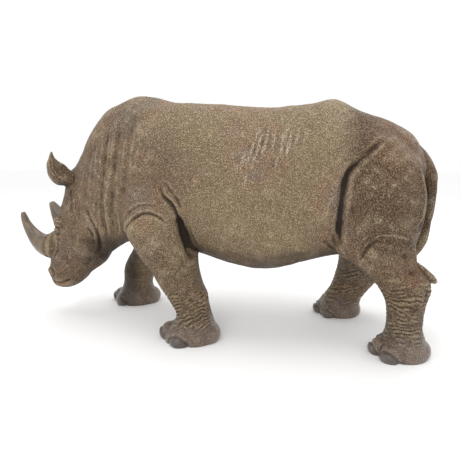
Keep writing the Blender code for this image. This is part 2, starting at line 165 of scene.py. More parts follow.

# What the mesh holds at each vertex for the paint, and how far each part is painted darker;
# under the head and where the hide faces down this is painted shade.
SHARES = ("recess", "ridge", "horn", "nail", "dark", "foot", "neck", "hock", "shade", "rust",
          "crest", "ringed", "rib")
DARKNESS = {
    "thighs": 0.86, "rump": 0.90, "head": 0.54, "forehead": 0.88, "ears": 0.84,
    "shaded_throat": 0.90, "left_legs": 0.60, "right_legs": 0.24, "shaded_underside": 0.70,
    "neck": 0.42, "shoulder": 0.40,
}

# Trunk and neck, from the rump to the back of the skull: the ring's top as (x, z),
# its bottom as (x, z), its half width, and how square it is (2 is an ellipse).
TRUNK = [
    ((0.580, 0.700), (0.545, 0.480), 0.060, 2.0),
    ((0.560, 0.768), (0.520, 0.440), 0.130, 2.0),
    ((0.504, 0.842), (0.460, 0.410), 0.190, 2.1),
    ((0.412, 0.885), (0.390, 0.385), 0.225, 2.2),
    ((0.305, 0.927), (0.300, 0.352), 0.240, 2.2),
    ((0.225, 0.964), (0.225, 0.336), 0.246, 2.2),
    ((0.120, 0.953), (0.120, 0.306), 0.262, 2.2),
    ((-0.020, 0.942), (-0.020, 0.270), 0.280, 2.2),
    ((-0.160, 0.949), (-0.150, 0.277), 0.280, 2.2),
    ((-0.300, 0.963), (-0.280, 0.312), 0.262, 2.2),
    ((-0.430, 0.969), (-0.400, 0.346), 0.240, 2.2),
    ((-0.580, 1.005), (-0.530, 0.358), 0.215, 2.1),
    ((-0.668, 0.980), (-0.630, 0.360), 0.195, 2.1),
    ((-0.750, 0.943), (-0.705, 0.348), 0.175, 2.1),
    ((-0.825, 0.862), (-0.765, 0.308), 0.152, 2.1),
    ((-0.882, 0.760), (-0.810, 0.285), 0.132, 2.1),
    ((-0.935, 0.690), (-0.860, 0.300), 0.108, 2.0),
]

# Head, from the poll to the lips: face line, jaw line, half width and squareness.
HEAD = [
    ((-0.945, 0.695), (-0.830, 0.665), 0.060, 2.0),
    ((-0.970, 0.636), (-0.775, 0.590), 0.100, 2.1),
    ((-0.978, 0.568), (-0.755, 0.500), 0.118, 2.2),
    ((-1.005, 0.500), (-0.752, 0.420), 0.124, 2.3),
    ((-1.033, 0.432), (-0.765, 0.345), 0.120, 2.4),
    ((-1.058, 0.370), (-0.799, 0.266), 0.106, 2.4),
    ((-1.070, 0.305), (-0.849, 0.224), 0.094, 2.5),
    ((-1.073, 0.245), (-0.900, 0.190), 0.092, 2.7),
    ((-1.070, 0.190), (-0.930, 0.152), 0.090, 2.9),
    ((-1.053, 0.146), (-0.965, 0.130), 0.076, 2.8),
]

# Legs, from inside the body to the sole: ring centre as (x, z), y, half length fore
# and aft, half width, and the ring's lean in degrees (its front end up).
LEFT_FORELEG = [
    ((-0.500, 0.640), -0.130, 0.130, 0.100, 0),
    ((-0.490, 0.520), -0.165, 0.140, 0.098, 0),
    ((-0.475, 0.430), -0.188, 0.130, 0.094, 0),
    ((-0.434, 0.360), -0.198, 0.126, 0.088, 0),
    ((-0.405, 0.300), -0.202, 0.105, 0.083, 0),
    ((-0.380, 0.240), -0.203, 0.091, 0.077, 0),
    ((-0.354, 0.190), -0.203, 0.090, 0.074, 0),
    ((-0.330, 0.130), -0.203, 0.072, 0.072, 0),
    ((-0.319, 0.095), -0.203, 0.074, 0.077, 0),
    ((-0.331, 0.050), -0.203, 0.099, 0.094, 0),
    ((-0.342, 0.020), -0.203, 0.110, 0.100, 0),
    ((-0.342, -0.020), -0.203, 0.104, 0.094, 0),
]
RIGHT_FORELEG = [
    ((-0.520, 0.640), 0.130, 0.130, 0.100, 0),
    ((-0.555, 0.520), 0.165, 0.135, 0.098, 0),
    ((-0.574, 0.430), 0.188, 0.116, 0.094, 0),
    ((-0.613, 0.350), 0.198, 0.099, 0.088, 0),
    ((-0.655, 0.285), 0.202, 0.086, 0.083, 0),
    ((-0.695, 0.230), 0.203, 0.085, 0.078, 0),
    ((-0.722, 0.170), 0.203, 0.080, 0.074, 0),
    ((-0.730, 0.115), 0.203, 0.075, 0.073, 0),
    ((-0.735, 0.085), 0.203, 0.075, 0.079, 0),
    ((-0.740, 0.046), 0.203, 0.095, 0.094, 0),
    ((-0.746, 0.020), 0.203, 0.110, 0.100, 0),
    ((-0.746, -0.020), 0.203, 0.104, 0.094, 0),
]
LEFT_HINDLEG = [
    ((0.400, 0.740), -0.100, 0.130, 0.110, 0),
    ((0.398, 0.620), -0.140, 0.150, 0.118, 0),
    ((0.388, 0.500), -0.172, 0.152, 0.110, 0),
    ((0.376, 0.420), -0.185, 0.138, 0.100, 0),
    ((0.400, 0.360), -0.193, 0.119, 0.092, 0),
    ((0.443, 0.315), -0.198, 0.112, 0.083, 0),
    ((0.479, 0.270), -0.202, 0.097, 0.076, 0),
    ((0.491, 0.215), -0.203, 0.073, 0.070, 0),
    ((0.492, 0.150), -0.203, 0.064, 0.066, 0),
    ((0.492, 0.100), -0.203, 0.064, 0.068, 0),
    ((0.494, 0.055), -0.203, 0.080, 0.084, 0),
    ((0.486, 0.020), -0.203, 0.098, 0.092, 0),
    ((0.486, -0.020), -0.203, 0.092, 0.086, 0),
]
RIGHT_HINDLEG = [
    ((0.400, 0.740), 0.100, 0.130, 0.110, 0),
    ((0.380, 0.620), 0.140, 0.150, 0.118, 0),
    ((0.355, 0.500), 0.172, 0.148, 0.110, 0),
    ((0.345, 0.420), 0.185, 0.132, 0.100, 0),
    ((0.362, 0.360), 0.193, 0.118, 0.092, 0),
    ((0.383, 0.305), 0.198, 0.110, 0.084, 0),
    ((0.386, 0.250), 0.202, 0.104, 0.077, 6),
    ((0.366, 0.195), 0.203, 0.096, 0.071, 14),
    ((0.340, 0.145), 0.203, 0.083, 0.068, 20),
    ((0.316, 0.098), 0.203, 0.076, 0.070, 16),
    ((0.296, 0.055), 0.203, 0.092, 0.086, 6),
    ((0.288, 0.020), 0.203, 0.098, 0.092, 0),
    ((0.288, -0.020), 0.203, 0.092, 0.086, 0),
]

# Horns and tail: round rings as centre (x, z) and radius, all on the middle plane.
FRONT_HORN = [
    ((-1.050, 0.317), 0.057),
    ((-1.093, 0.324), 0.060),
    ((-1.128, 0.332), 0.050),
    ((-1.154, 0.350), 0.040),
    ((-1.176, 0.374), 0.032),
    ((-1.194, 0.399), 0.026),
    ((-1.211, 0.431), 0.020),
    ((-1.220, 0.460), 0.016),
    ((-1.225, 0.483), 0.010),
]
REAR_HORN = [
    ((-0.984, 0.400), 0.050),
    ((-1.005, 0.429), 0.049),
    ((-1.029, 0.465), 0.038),
    ((-1.052, 0.502), 0.025),
    ((-1.070, 0.534), 0.013),
]
TAIL = [
    ((0.505, 0.750), 0.060),
    ((0.555, 0.722), 0.045),
    ((0.595, 0.672), 0.031),
    ((0.609, 0.610), 0.022),
    ((0.610, 0.550), 0.018),
    ((0.601, 0.480), 0.017),
    ((0.587, 0.410), 0.021),
    ((0.571, 0.365), 0.019),
    ((0.553, 0.325), 0.010),
]

# Ears: leaf-shaped shells, from the root to the tip, as centre (x, y, z), half width as
# (x, z) and half thickness. The far ear is the near one's mirror image, laid back.
NEAR_EAR = [
    ((-0.895, -0.070, 0.640), (-0.006, -0.028), 0.024),
    ((-0.925, -0.095, 0.648), (-0.014, -0.036), 0.018),
    ((-0.953, -0.110, 0.660), (-0.030, -0.042), 0.014),
    ((-0.970, -0.120, 0.686), (-0.041, -0.027), 0.012),
    ((-0.975, -0.124, 0.716), (-0.030, -0.008), 0.011),
    ((-0.973, -0.124, 0.743), (-0.011, -0.001), 0.010),
    ((-0.970, -0.122, 0.766), (-0.003, 0.000), 0.007),
]
EAR_CUP = 0.028
EAR_FULL_WIDTH = 0.048
EAR_ROOT = (-0.900, 0.080, 0.645)
FAR_EAR_LAID_BACK = 45

# Rounded masses that swell the body: centre, radii, and turn about Y in degrees.
BODY_MASSES = [
    ((-0.850, -0.062, 0.400), (0.095, 0.066, 0.140), 20),
    ((-0.850, 0.062, 0.400), (0.095, 0.066, 0.140), 20),
    ((0.380, -0.120, 0.590), (0.178, 0.145, 0.245), -8),
    ((0.370, 0.120, 0.590), (0.178, 0.145, 0.245), -8),
    ((-0.480, -0.100, 0.670), (0.220, 0.135, 0.250), -12),
    ((-0.500, 0.100, 0.670), (0.220, 0.135, 0.250), -4),
    ((0.300, -0.200, 0.430), (0.075, 0.060, 0.080), 0),
    ((0.280, 0.200, 0.430), (0.075, 0.060, 0.080), 0),
]

# Smaller masses that stay distinct: the boss under the front horn, the brows, the eyes,
# the nostril rims, the caps of the stifles and the points of the hocks.
DETAIL_MASSES = [
    ((-1.052, 0.0, 0.326), (0.052, 0.078, 0.072), 0),
    ((-0.967, -0.092, 0.452), (0.040, 0.025, 0.024), 20),
    ((-0.967, 0.092, 0.452), (0.040, 0.025, 0.024), 20),
    ((-0.984, -0.094, 0.424), (0.018, 0.015, 0.015), 0),
    ((-0.984, 0.094, 0.424), (0.018, 0.015, 0.015), 0),
    ((-1.040, -0.066, 0.214), (0.026, 0.024, 0.030), 0),
    ((-1.040, 0.066, 0.214), (0.026, 0.024, 0.030), 0),
    ((0.356, -0.256, 0.402), (0.036, 0.034, 0.042), -20),
    ((0.336, 0.256, 0.402), (0.036, 0.034, 0.042), -20),
    ((0.555, -0.203, 0.319), (0.054, 0.024, 0.017), 42),
    ((0.460, 0.203, 0.282), (0.050, 0.024, 0.017), 42),
]

# Feet: centre (x, y) of each. A foot's lobes are given for the left side, from that
# centre: the middle, outer and inner toes and the heel pad, as centre, radii and turn
# about Z in degrees.
FOREFEET = [(-0.342, -0.203), (-0.746, 0.203)]
HIND_FEET = [(0.486, -0.203), (0.288, 0.203)]
FORE_TOES = [
    ((-0.072, -0.004, 0.023), (0.057, 0.050, 0.042), 0),
    ((-0.014, -0.057, 0.021), (0.058, 0.047, 0.045), 70),
    ((-0.030, 0.060, 0.022), (0.056, 0.040, 0.044), -55),
    ((0.073, 0.000, 0.026), (0.054, 0.072, 0.049), 0),
]
HIND_TOES = [
    ((-0.080, -0.002, 0.024), (0.057, 0.048, 0.044), 0),
    ((-0.044, -0.062, 0.021), (0.060, 0.049, 0.047), 48),
    ((-0.038, 0.062, 0.022), (0.058, 0.040, 0.044), -45),
    ((0.071, 0.000, 0.028), (0.052, 0.072, 0.048), 0),
]
HIND_FOOT_SCALE = 0.87

# The share of a fold's length, or of a painted line's, that each of its ends fades over.
FOLD_TAPER = 0.18
LINE_FADE = 0.25

# Folds and creases: which side (-1 left, 1 right, 0 both), depth, half width, how far the
# hide swells beside it on the left hand of its run, and its points as (x, z).
FOLDS = [
    # Over the upper foreleg: a thin groove under a rolled edge.
    (-1, 0.0064, 0.0050, 0.45,
     [(-0.636, 0.392), (-0.596, 0.432), (-0.581, 0.465), (-0.552, 0.495), (-0.520, 0.516),
      (-0.489, 0.524), (-0.454, 0.515), (-0.427, 0.498), (-0.404, 0.474)]),
    (1, 0.0080, 0.0052, 0.6,
     [(-0.700, 0.420), (-0.668, 0.465), (-0.640, 0.495), (-0.605, 0.516), (-0.570, 0.522),
      (-0.535, 0.512), (-0.508, 0.492)]),
    # Behind the foreleg, up from the armpit, and the pocket of the armpit itself.
    (-1, 0.011, 0.0072, 0.35,
     [(-0.450, 0.640), (-0.430, 0.591), (-0.401, 0.562), (-0.381, 0.530), (-0.368, 0.490),
      (-0.356, 0.450), (-0.340, 0.405), (-0.320, 0.370), (-0.300, 0.345)]),
    (-1, 0.016, 0.015, 0.0,
     [(-0.376, 0.520), (-0.360, 0.475), (-0.343, 0.425), (-0.323, 0.375), (-0.303, 0.335)]),
    (1, 0.018, 0.010, 0.5,
     [(-0.490, 0.632), (-0.474, 0.591), (-0.460, 0.545), (-0.452, 0.495), (-0.450, 0.440),
      (-0.455, 0.390), (-0.460, 0.350)]),
    # Where the flank tucks in before the thigh.
    (-1, 0.0055, 0.0090, 0.45,
     [(0.368, 0.800), (0.336, 0.760), (0.303, 0.732), (0.277, 0.706), (0.260, 0.676)]),
    (-1, 0.014, 0.0105, 0.35,
     [(0.296, 0.728), (0.268, 0.698), (0.252, 0.660), (0.245, 0.610), (0.240, 0.560),
      (0.236, 0.500), (0.235, 0.440), (0.240, 0.400)]),
    (-1, 0.004, 0.010, 0.3,
     [(0.240, 0.660), (0.224, 0.600), (0.213, 0.540), (0.206, 0.480), (0.204, 0.430)]),
    (1, 0.016, 0.0100, -0.35,
     [(0.338, 0.795), (0.305, 0.748), (0.273, 0.725), (0.247, 0.697), (0.232, 0.660),
      (0.225, 0.610), (0.220, 0.560), (0.216, 0.500), (0.215, 0.440), (0.220, 0.400)]),
    # Over the stifle and in front of the hock's tendon.
    (-1, 0.0060, 0.0060, 0.4,
     [(0.316, 0.372), (0.320, 0.395), (0.334, 0.424), (0.356, 0.444), (0.380, 0.452)]),
    (-1, -0.0040, 0.0055, 0.0,
     [(0.345, 0.446), (0.375, 0.466), (0.410, 0.468), (0.445, 0.462), (0.480, 0.446)]),
    (1, 0.0055, 0.0062, 0.6,
     [(0.302, 0.372), (0.306, 0.395), (0.322, 0.425), (0.352, 0.443), (0.385, 0.449),
      (0.420, 0.446), (0.450, 0.430)]),
    (-1, 0.0070, 0.0150, 0.0,
     [(0.458, 0.410), (0.468, 0.380), (0.480, 0.350), (0.496, 0.320)]),
    (-1, -0.0060, 0.0055, 0.0, [(0.488, 0.430), (0.502, 0.400), (0.520, 0.360), (0.546, 0.325)]),
    # The neck's upright folds.
    (0, 0.0055, 0.016, 0.4,
     [(-0.782, 0.800), (-0.790, 0.740), (-0.802, 0.680), (-0.812, 0.610), (-0.815, 0.540)]),
    (0, 0.0085, 0.014, 0.4,
     [(-0.700, 0.880), (-0.700, 0.800), (-0.705, 0.720), (-0.714, 0.640), (-0.732, 0.555),
      (-0.738, 0.480), (-0.750, 0.395)]),
    (0, 0.0065, 0.015, 0.4,
     [(-0.636, 0.930), (-0.640, 0.840), (-0.648, 0.740), (-0.660, 0.640), (-0.676, 0.540),
      (-0.690, 0.440), (-0.705, 0.370)]),
    (0, 0.0045, 0.016, 0.4,
     [(-0.570, 0.930), (-0.575, 0.840), (-0.586, 0.740), (-0.602, 0.640), (-0.616, 0.560)]),
    # Behind the jaw, on the cheek, below the eye, round the boss, and the mouth.
    (0, 0.0070, 0.0070, -0.40,
     [(-0.822, 0.540), (-0.800, 0.497), (-0.782, 0.458), (-0.774, 0.419), (-0.774, 0.378),
      (-0.786, 0.337), (-0.815, 0.300)]),
    (0, 0.0060, 0.0050, 0.0, [(-0.818, 0.440), (-0.806, 0.422), (-0.795, 0.400)]),
    (0, 0.0060, 0.0055, 0.3,
     [(-0.997, 0.420), (-0.990, 0.402), (-0.980, 0.382), (-0.974, 0.362)]),
    (0, 0.0036, 0.0050, 0.3,
     [(-1.030, 0.278), (-1.006, 0.308), (-0.990, 0.338), (-0.986, 0.366), (-0.998, 0.396)]),
    (0, 0.0018, 0.0048, 0.3, [(-1.040, 0.300), (-1.022, 0.330), (-1.012, 0.362)]),
    (0, 0.0050, 0.0060, 0.0,
     [(-1.052, 0.178), (-1.025, 0.168), (-0.998, 0.166), (-0.966, 0.177), (-0.935, 0.190)]),
]

# Finer creases of the hide, given as the folds are.
FINE_FOLDS = [
    # Lids above and below the eye, the brow and the wrinkles round them.
    (0, 0.0045, 0.0045, 0.5,
     [(-0.964, 0.414), (-0.972, 0.427), (-0.986, 0.432), (-1.001, 0.427), (-1.010, 0.418)]),
    (0, 0.0045, 0.0045, 0.5,
     [(-1.012, 0.411), (-1.001, 0.400), (-0.988, 0.396), (-0.974, 0.400), (-0.963, 0.409)]),
    (0, 0.0030, 0.0050, 0.4,
     [(-0.944, 0.418), (-0.956, 0.440), (-0.974, 0.451), (-0.996, 0.450)]),
    # The side of the muzzle, the nostril's rim and the lower lip.
    (0, 0.0022, 0.0060, 0.4, [(-0.960, 0.345), (-0.948, 0.315), (-0.944, 0.285), (-0.952, 0.255)]),
    (0, 0.0030, 0.0050, 0.4, [(-1.048, 0.232), (-1.030, 0.226), (-1.022, 0.208), (-1.032, 0.192)]),
    (0, 0.0026, 0.0055, 0.3, [(-0.915, 0.205), (-0.900, 0.222), (-0.880, 0.232)]),
    (0, 0.0034, 0.0065, 0.4, [(-0.832, 0.300), (-0.848, 0.272), (-0.872, 0.250)]),
    # From the ear down the side of the head.
    (0, 0.0028, 0.0070, 0.3, [(-0.912, 0.618), (-0.902, 0.580), (-0.895, 0.535), (-0.897, 0.490)]),
    (0, 0.0016, 0.0075, 0.3, [(-0.868, 0.600), (-0.858, 0.550), (-0.856, 0.500), (-0.862, 0.455)]),
    # Along the back of the near ear.
    (-1, 0.0016, 0.0040, 0.4,
     [(-0.916, 0.628), (-0.945, 0.648), (-0.966, 0.688), (-0.974, 0.735)]),
    (-1, 0.0016, 0.0040, 0.4, [(-0.920, 0.650), (-0.948, 0.678), (-0.962, 0.716)]),
    (-1, 0.0014, 0.0040, 0.4,
     [(-0.912, 0.610), (-0.946, 0.628), (-0.976, 0.664), (-0.988, 0.708)]),
    # Fine upright wrinkles of the neck.
    (0, 0.0030, 0.0070, 0.4, [(-0.760, 0.820), (-0.762, 0.740), (-0.768, 0.660), (-0.778, 0.580)]),
    (0, 0.0034, 0.0070, 0.4, [(-0.742, 0.600), (-0.755, 0.530), (-0.762, 0.460), (-0.770, 0.400)]),
    (0, 0.0030, 0.0070, 0.4, [(-0.672, 0.860), (-0.674, 0.780), (-0.680, 0.700), (-0.690, 0.620)]),
    (0, 0.0040, 0.0070, 0.4, [(-0.716, 0.560), (-0.722, 0.500), (-0.728, 0.440), (-0.735, 0.385)]),
    (0, 0.0030, 0.0070, 0.4, [(-0.612, 0.860), (-0.615, 0.780), (-0.622, 0.700), (-0.634, 0.620)]),
    (0, 0.0034, 0.0070, 0.4, [(-0.655, 0.520), (-0.665, 0.470), (-0.680, 0.415)]),
    (0, 0.0022, 0.0080, 0.4, [(-0.540, 0.840), (-0.548, 0.760), (-0.560, 0.690)]),
    # Beside the fold over the foreleg and along the armpit.
    (-1, 0.0030, 0.0050, 0.4,
     [(-0.604, 0.480), (-0.568, 0.526), (-0.530, 0.548), (-0.490, 0.554), (-0.452, 0.546)]),
    (1, 0.0030, 0.0050, 0.4,
     [(-0.690, 0.478), (-0.655, 0.526), (-0.615, 0.546), (-0.570, 0.552), (-0.530, 0.544)]),
    (-1, 0.0034, 0.0055, 0.4, [(-0.425, 0.650), (-0.400, 0.612), (-0.372, 0.578), (-0.352, 0.540)]),
    (-1, 0.0028, 0.0060, 0.4, [(-0.330, 0.460), (-0.318, 0.420), (-0.300, 0.385)]),
    # Where the belly's skin meets the thigh.
    (-1, 0.0040, 0.0070, 0.4, [(0.215, 0.470), (0.222, 0.430), (0.238, 0.395), (0.262, 0.370)]),
    (-1, 0.0034, 0.0070, 0.4, [(0.180, 0.430), (0.205, 0.405), (0.228, 0.385)]),
    (-1, 0.0034, 0.0080, 0.4, [(0.378, 0.800), (0.345, 0.770), (0.315, 0.748)]),
    # Round the stifle's cap, and the hollow behind the tendon.
    (-1, 0.0034, 0.0055, 0.4,
     [(0.308, 0.385), (0.312, 0.415), (0.330, 0.444), (0.358, 0.458), (0.392, 0.464)]),
    (-1, 0.0050, 0.0070, 0.0, [(0.548, 0.275), (0.545, 0.240), (0.540, 0.205)]),
    # The thigh's rear edge, down to the tendon.
    (-1, 0.0080, 0.0085, -0.6,
     [(0.522, 0.710), (0.540, 0.650), (0.545, 0.585), (0.532, 0.520), (0.504, 0.462)]),
    (1, 0.0080, 0.0085, 0.6,
     [(0.522, 0.710), (0.540, 0.650), (0.545, 0.585), (0.532, 0.520), (0.504, 0.462)]),
]

# Slanting skin folds over the ribs: top x and z, how far each leans forward and how far
# it runs down, and its depth.
RIB_FOLDS = [
    (-0.024, 0.862, 0.026, 0.130, 0.0030),
    (-0.049, 0.838, 0.036, 0.150, 0.0034),
    (-0.078, 0.800, 0.026, 0.100, 0.0024),
    (-0.062, 0.852, 0.014, 0.060, 0.0018),
    (-0.002, 0.848, 0.010, 0.096, 0.0024),
    (0.026, 0.836, 0.006, 0.104, 0.0034),
    (0.044, 0.856, 0.012, 0.060, 0.0020),
    (0.058, 0.838, 0.022, 0.110, 0.0022),
    (0.086, 0.852, 0.016, 0.078, 0.0020),
    (0.112, 0.846, 0.012, 0.064, 0.0016),
    (-0.110, 0.764, 0.014, 0.080, 0.0020),
    (0.012, 0.742, 0.014, 0.056, 0.0018),
    (-0.136, 0.712, 0.010, 0.050, 0.0014),
    (-0.096, 0.684, 0.014, 0.056, 0.0016),
]
RIB_FOLD_HALF_WIDTH = 0.0050

# Ringed wrinkles of the shanks: side, front and rear limits in x, lowest and highest z,
# spacing of the rings, their slope along x, and their depth.
LEG_WRINKLES = [
    (-1, 0.30, 0.62, 0.070, 0.300, 0.0160, 0.10, 0.0040),
    (1, 0.12, 0.52, 0.070, 0.290, 0.0160, 0.28, 0.0032),
    (-1, -0.56, -0.18, 0.070, 0.215, 0.0165, 0.45, 0.0040),
    (1, -0.92, -0.56, 0.080, 0.200, 0.0175, -0.30, 0.0012),
]

# The depth at which a ring is painted at its clearest, and how the rings wander: length,
# seed and height of each wave.
CLEAR_RING_DEPTH = 0.0036
RING_WANDER = [(0.10, 3, 0.0075), (0.040, 4, 0.0032)]

# The hide's slow unevenness, as waves like those of the rings.
UNEVENNESS = [(0.16, 11, 0.0020), (0.06, 12, 0.0008)]

# How deep the groove round a nail is, and how far the nail stands out.
NAIL_GROOVE = 0.0065
NAIL_RISE = 0.0020

# The width of a ring's groove, squared, and of its crest, as shares of the spacing; and how
# much the hide swells between the grooves.
RING_GROOVE = 0.028
RING_CREST = 0.14
RING_SWELL = 0.35

# How relief is read for the paint: the passes that smooth the surface to its own, near and
# wide forms; then, for creases and for ridges, where the fine and the wide depth begin to
# take paint, where they take it in full, and how much.
OWN_PASSES = 1
NEAR_PASSES = 7
WIDE_PASSES = 45
CREASES = ((0.00025, 0.0012, 0.70), (0.0020, 0.0085, 0.70))
RIDGES = ((0.00030, 0.0011, 0.80), (0.0020, 0.0080, 0.20))

# Pressed hollows: centre, radius and depth.
HOLLOWS = [
    ((-1.058, -0.074, 0.205), 0.0100, 0.011),
    ((-1.058, 0.074, 0.205), 0.0100, 0.011),
    ((0.500, -0.262, 0.330), 0.0180, 0.006),
    ((0.538, -0.238, 0.262), 0.0130, 0.005),
]

# Eyeballs: centre for the left side, and radius.
EYE = ((-0.988, -0.0880, 0.4135), 0.0160)

# Painted shadow along the thighs' rear edges, in the armpits and before the thighs: side, half
# width and points.
PAINTED_SHADOW_LINES = [
    (0, 0.016, [(0.530, 0.720), (0.552, 0.650), (0.556, 0.585), (0.545, 0.520), (0.518, 0.455)]),
    (-1, 0.022,
     [(-0.385, 0.540), (-0.356, 0.470), (-0.338, 0.420), (-0.318, 0.370), (-0.296, 0.325)]),
    (1, 0.022,
     [(-0.465, 0.560), (-0.452, 0.495), (-0.450, 0.440), (-0.455, 0.390), (-0.460, 0.340)]),
    (-1, 0.015,
     [(0.318, 0.740), (0.258, 0.680), (0.243, 0.620), (0.236, 0.550), (0.232, 0.480),
      (0.236, 0.400)]),
    (1, 0.015,
     [(0.298, 0.740), (0.238, 0.680), (0.223, 0.620), (0.216, 0.550), (0.212, 0.480),
      (0.216, 0.400)]),
]


def between(stations, steps):
    """Rows of numbers, with smooth rows put between each pair by a Catmull-Rom curve."""
    rows = np.array(stations, float)
    padded = np.vstack([2 * rows[0] - rows[1], rows, 2 * rows[-1] - rows[-2]])
    made = []
    for before, start, end, after in zip(padded, padded[1:], padded[2:], padded[3:]):
        for t in np.linspace(0.0, 1.0, steps, endpoint=False):
            made.append(
                0.5 * (2 * start + (end - before) * t
                       + (2 * before - 5 * start + 4 * end - after) * t ** 2
                       + (3 * start - before - 3 * end + after) * t ** 3)
            )
    return np.vstack([made, rows[-1]])


def ring(centre, long_axis, side_axis, squareness=2.0, egg=0.0, cup=0.0):
    """One ring of a form: its long half axis, its side half axis, and its shape."""
    return (*centre, *long_axis, *side_axis, squareness, egg, cup)


def profile_rings(stations, egg):
    """Rings of the trunk or head, narrower above than below by the egg share."""
    rows = []
    for (top_x, top_z), (low_x, low_z), half_width, squareness in stations:
        centre = ((top_x + low_x) / 2, 0.0, (top_z + low_z) / 2)
        long_axis = ((top_x - low_x) / 2, 0.0, (top_z - low_z) / 2)
        rows.append(ring(centre, long_axis, (0.0, half_width, 0.0), squareness, egg))
    return rows


def leg_rings(stations):
    """Rings of a leg, each lying flat but for its lean."""
    rows = []
    for (x, z), y, half_length, half_width, lean in stations:
        turn = np.radians(lean)
        long_axis = (-half_length * np.cos(turn), 0.0, half_length * np.sin(turn))
        rows.append(ring((x, y, z), long_axis, (0.0, half_width, 0.0), 2.2))
    return rows


def round_rings(stations):
    """Rings of a horn or the tail, square to the line through their centres."""
    centres = np.array([(x, 0.0, z) for (x, z), _ in stations])
    along = np.gradient(centres, axis=0)
    along /= np.linalg.norm(along, axis=1)[:, None]
    rows = []
    for centre, way, (_, radius) in zip(centres, along, stations):
        across = np.cross(way, (0.0, 1.0, 0.0)) * radius
        rows.append(ring(centre, across, (0.0, radius, 0.0)))
    return rows


def ear_rings(stations):
    """Rings of a thin shell whose edges bend inwards like a cupped leaf."""
    rows = []
    for centre, (wide_x, wide_z), thickness in stations:
        cup = -EAR_CUP * np.hypot(wide_x, wide_z) / EAR_FULL_WIDTH / thickness
        rows.append(ring(centre, (wide_x, 0.0, wide_z), (0.0, -thickness, 0.0), cup=cup))
    return rows


def add_loft(bm, rings):
    """Adds a closed skin through the rings and gives back its vertices."""
    edge_loops = []
    vertices = []
    for row in between(rings, RINGS_BETWEEN):
        centre, long_axis, side_axis = row[0:3], row[3:6], row[6:9]
        squareness, egg, cup = row[9:12]
        circle = bmesh.ops.create_circle(bm, segments=RING_SIDES, radius=1.0)["verts"]
        for vertex in circle:
            across, up = vertex.co.x, vertex.co.y
            across = np.copysign(abs(across) ** (2.0 / squareness), across)
            up = np.copysign(abs(up) ** (2.0 / squareness), up)
            across = across * (1 - egg * up) + cup * up ** 2
            vertex.co = Vector(centre + long_axis * up + side_axis * across)
        edge_loops.append(list({edge for vertex in circle for edge in vertex.link_edges}))
        vertices += circle
    for first, second in zip(edge_loops, edge_loops[1:]):
        bmesh.ops.bridge_loops(bm, edges=first + second)
    for end in (edge_loops[0], edge_loops[-1]):
        bmesh.ops.edgeloop_fill(bm, edges=end)
    return vertices


def add_mass(bm, centre, radii, turn, axis="Y"):
    """Adds a rounded mass at its place."""
    place = (
        Matrix.Translation(centre)
        @ Matrix.Rotation(np.radians(turn), 4, axis)
        @ Matrix.Diagonal(radii).to_4x4()
    )
    bmesh.ops.create_icosphere(bm, subdivisions=4, radius=1.0, matrix=place)


def add_ears(bm):
    """Adds the near ear, and its mirror image laid back about its root."""
    add_loft(bm, ear_rings(NEAR_EAR))
    far_ear = add_loft(bm, ear_rings(NEAR_EAR))
    root = Vector(EAR_ROOT)
    place = (
        Matrix.Translation(root)
        @ Matrix.Rotation(np.radians(FAR_EAR_LAID_BACK), 4, "Y")
        @ Matrix.Translation(-root)
        @ Matrix.Scale(-1.0, 4, (0.0, 1.0, 0.0))
    )
    bmesh.ops.transform(bm, matrix=place, verts=far_ear)


def foot_lobes(count):
    """Each foot's first lobes, as centre, radii, scale and turn: the toes, then the pad."""
    feet_kinds = ((FOREFEET, FORE_TOES, 1.0), (HIND_FEET, HIND_TOES, HIND_FOOT_SCALE))
    for feet, lobes, scale in feet_kinds:
        for x, y in feet:
            side = np.sign(-y)
            for (ahead, across, up), radii, turn in lobes[:count]:
                centre = (x + ahead * scale, y + across * side * scale, up * scale)
                yield centre, radii, scale, turn * side


def nearest_on_run(places, run):
    """For each place: how far it is from the run, which hand it lies on, and its share."""
    best = np.full(len(places), np.inf)
    hand = np.ones(len(places))
    share = np.zeros(len(places))
    lengths = np.linalg.norm(np.diff(run, axis=0), axis=1)
    reached = np.concatenate([[0.0], np.cumsum(lengths)])
    for start, end, length, before in zip(run, run[1:], lengths, reached):
        way = (end - start) / length
        offset = places - start
        along = np.clip(offset @ way, 0.0, length)
        gap = np.linalg.norm(offset - along[:, None] * way, axis=1)
        closer = gap < best
        best[closer] = gap[closer]
        turned = way[0] * offset[:, 1] - way[1] * offset[:, 0]
        hand[closer] = np.sign(turned[closer])
        share[closer] = (before + along[closer]) / reached[-1]
    return best, hand, share


def beside_run(places, side, reach, points):
    """Which places are near a run, on its side of the figure, and how they lie to it."""
    run = between(points, RINGS_BETWEEN)
    flat = places[:, [0, 2]]
    low, high = run.min(axis=0) - reach, run.max(axis=0) + reach
    near = np.all((flat > low) & (flat < high), axis=1) & (places[:, 1] * side >= 0)
    return near, *nearest_on_run(flat[near], run)


def put_in_scene(name, data):
    made = bpy.data.objects.new(name, data)
    bpy.context.scene.collection.objects.link(made)
    return made


def piece_from(bm, name):
    """A new object in the scene, with the mesh that was built for it."""
    mesh = bpy.data.meshes.new(name)
    bm.to_mesh(mesh)
    bm.free()
    return put_in_scene(name, mesh)


def bake_modifiers(figure):
    """Makes the modifiers' result the object's own mesh."""
    graph = bpy.context.evaluated_depsgraph_get()
    baked = bpy.data.meshes.new_from_object(figure.evaluated_get(graph))
    figure.modifiers.clear()
    figure.data = baked


def merge_into(figure, bm, voxel, smoothing):
    """Runs everything in the mesh together into one smooth skin on the figure."""
    bmesh.ops.recalc_face_normals(bm, faces=bm.faces)
    bm.to_mesh(figure.data)
    bm.free()
    skin = figure.modifiers.new("one_skin", "REMESH")
    skin.mode = "VOXEL"
    skin.voxel_size = voxel
    blend = figure.modifiers.new("blend", "SMOOTH")
    blend.factor = 0.5
    blend.iterations = smoothing
    bake_modifiers(figure)


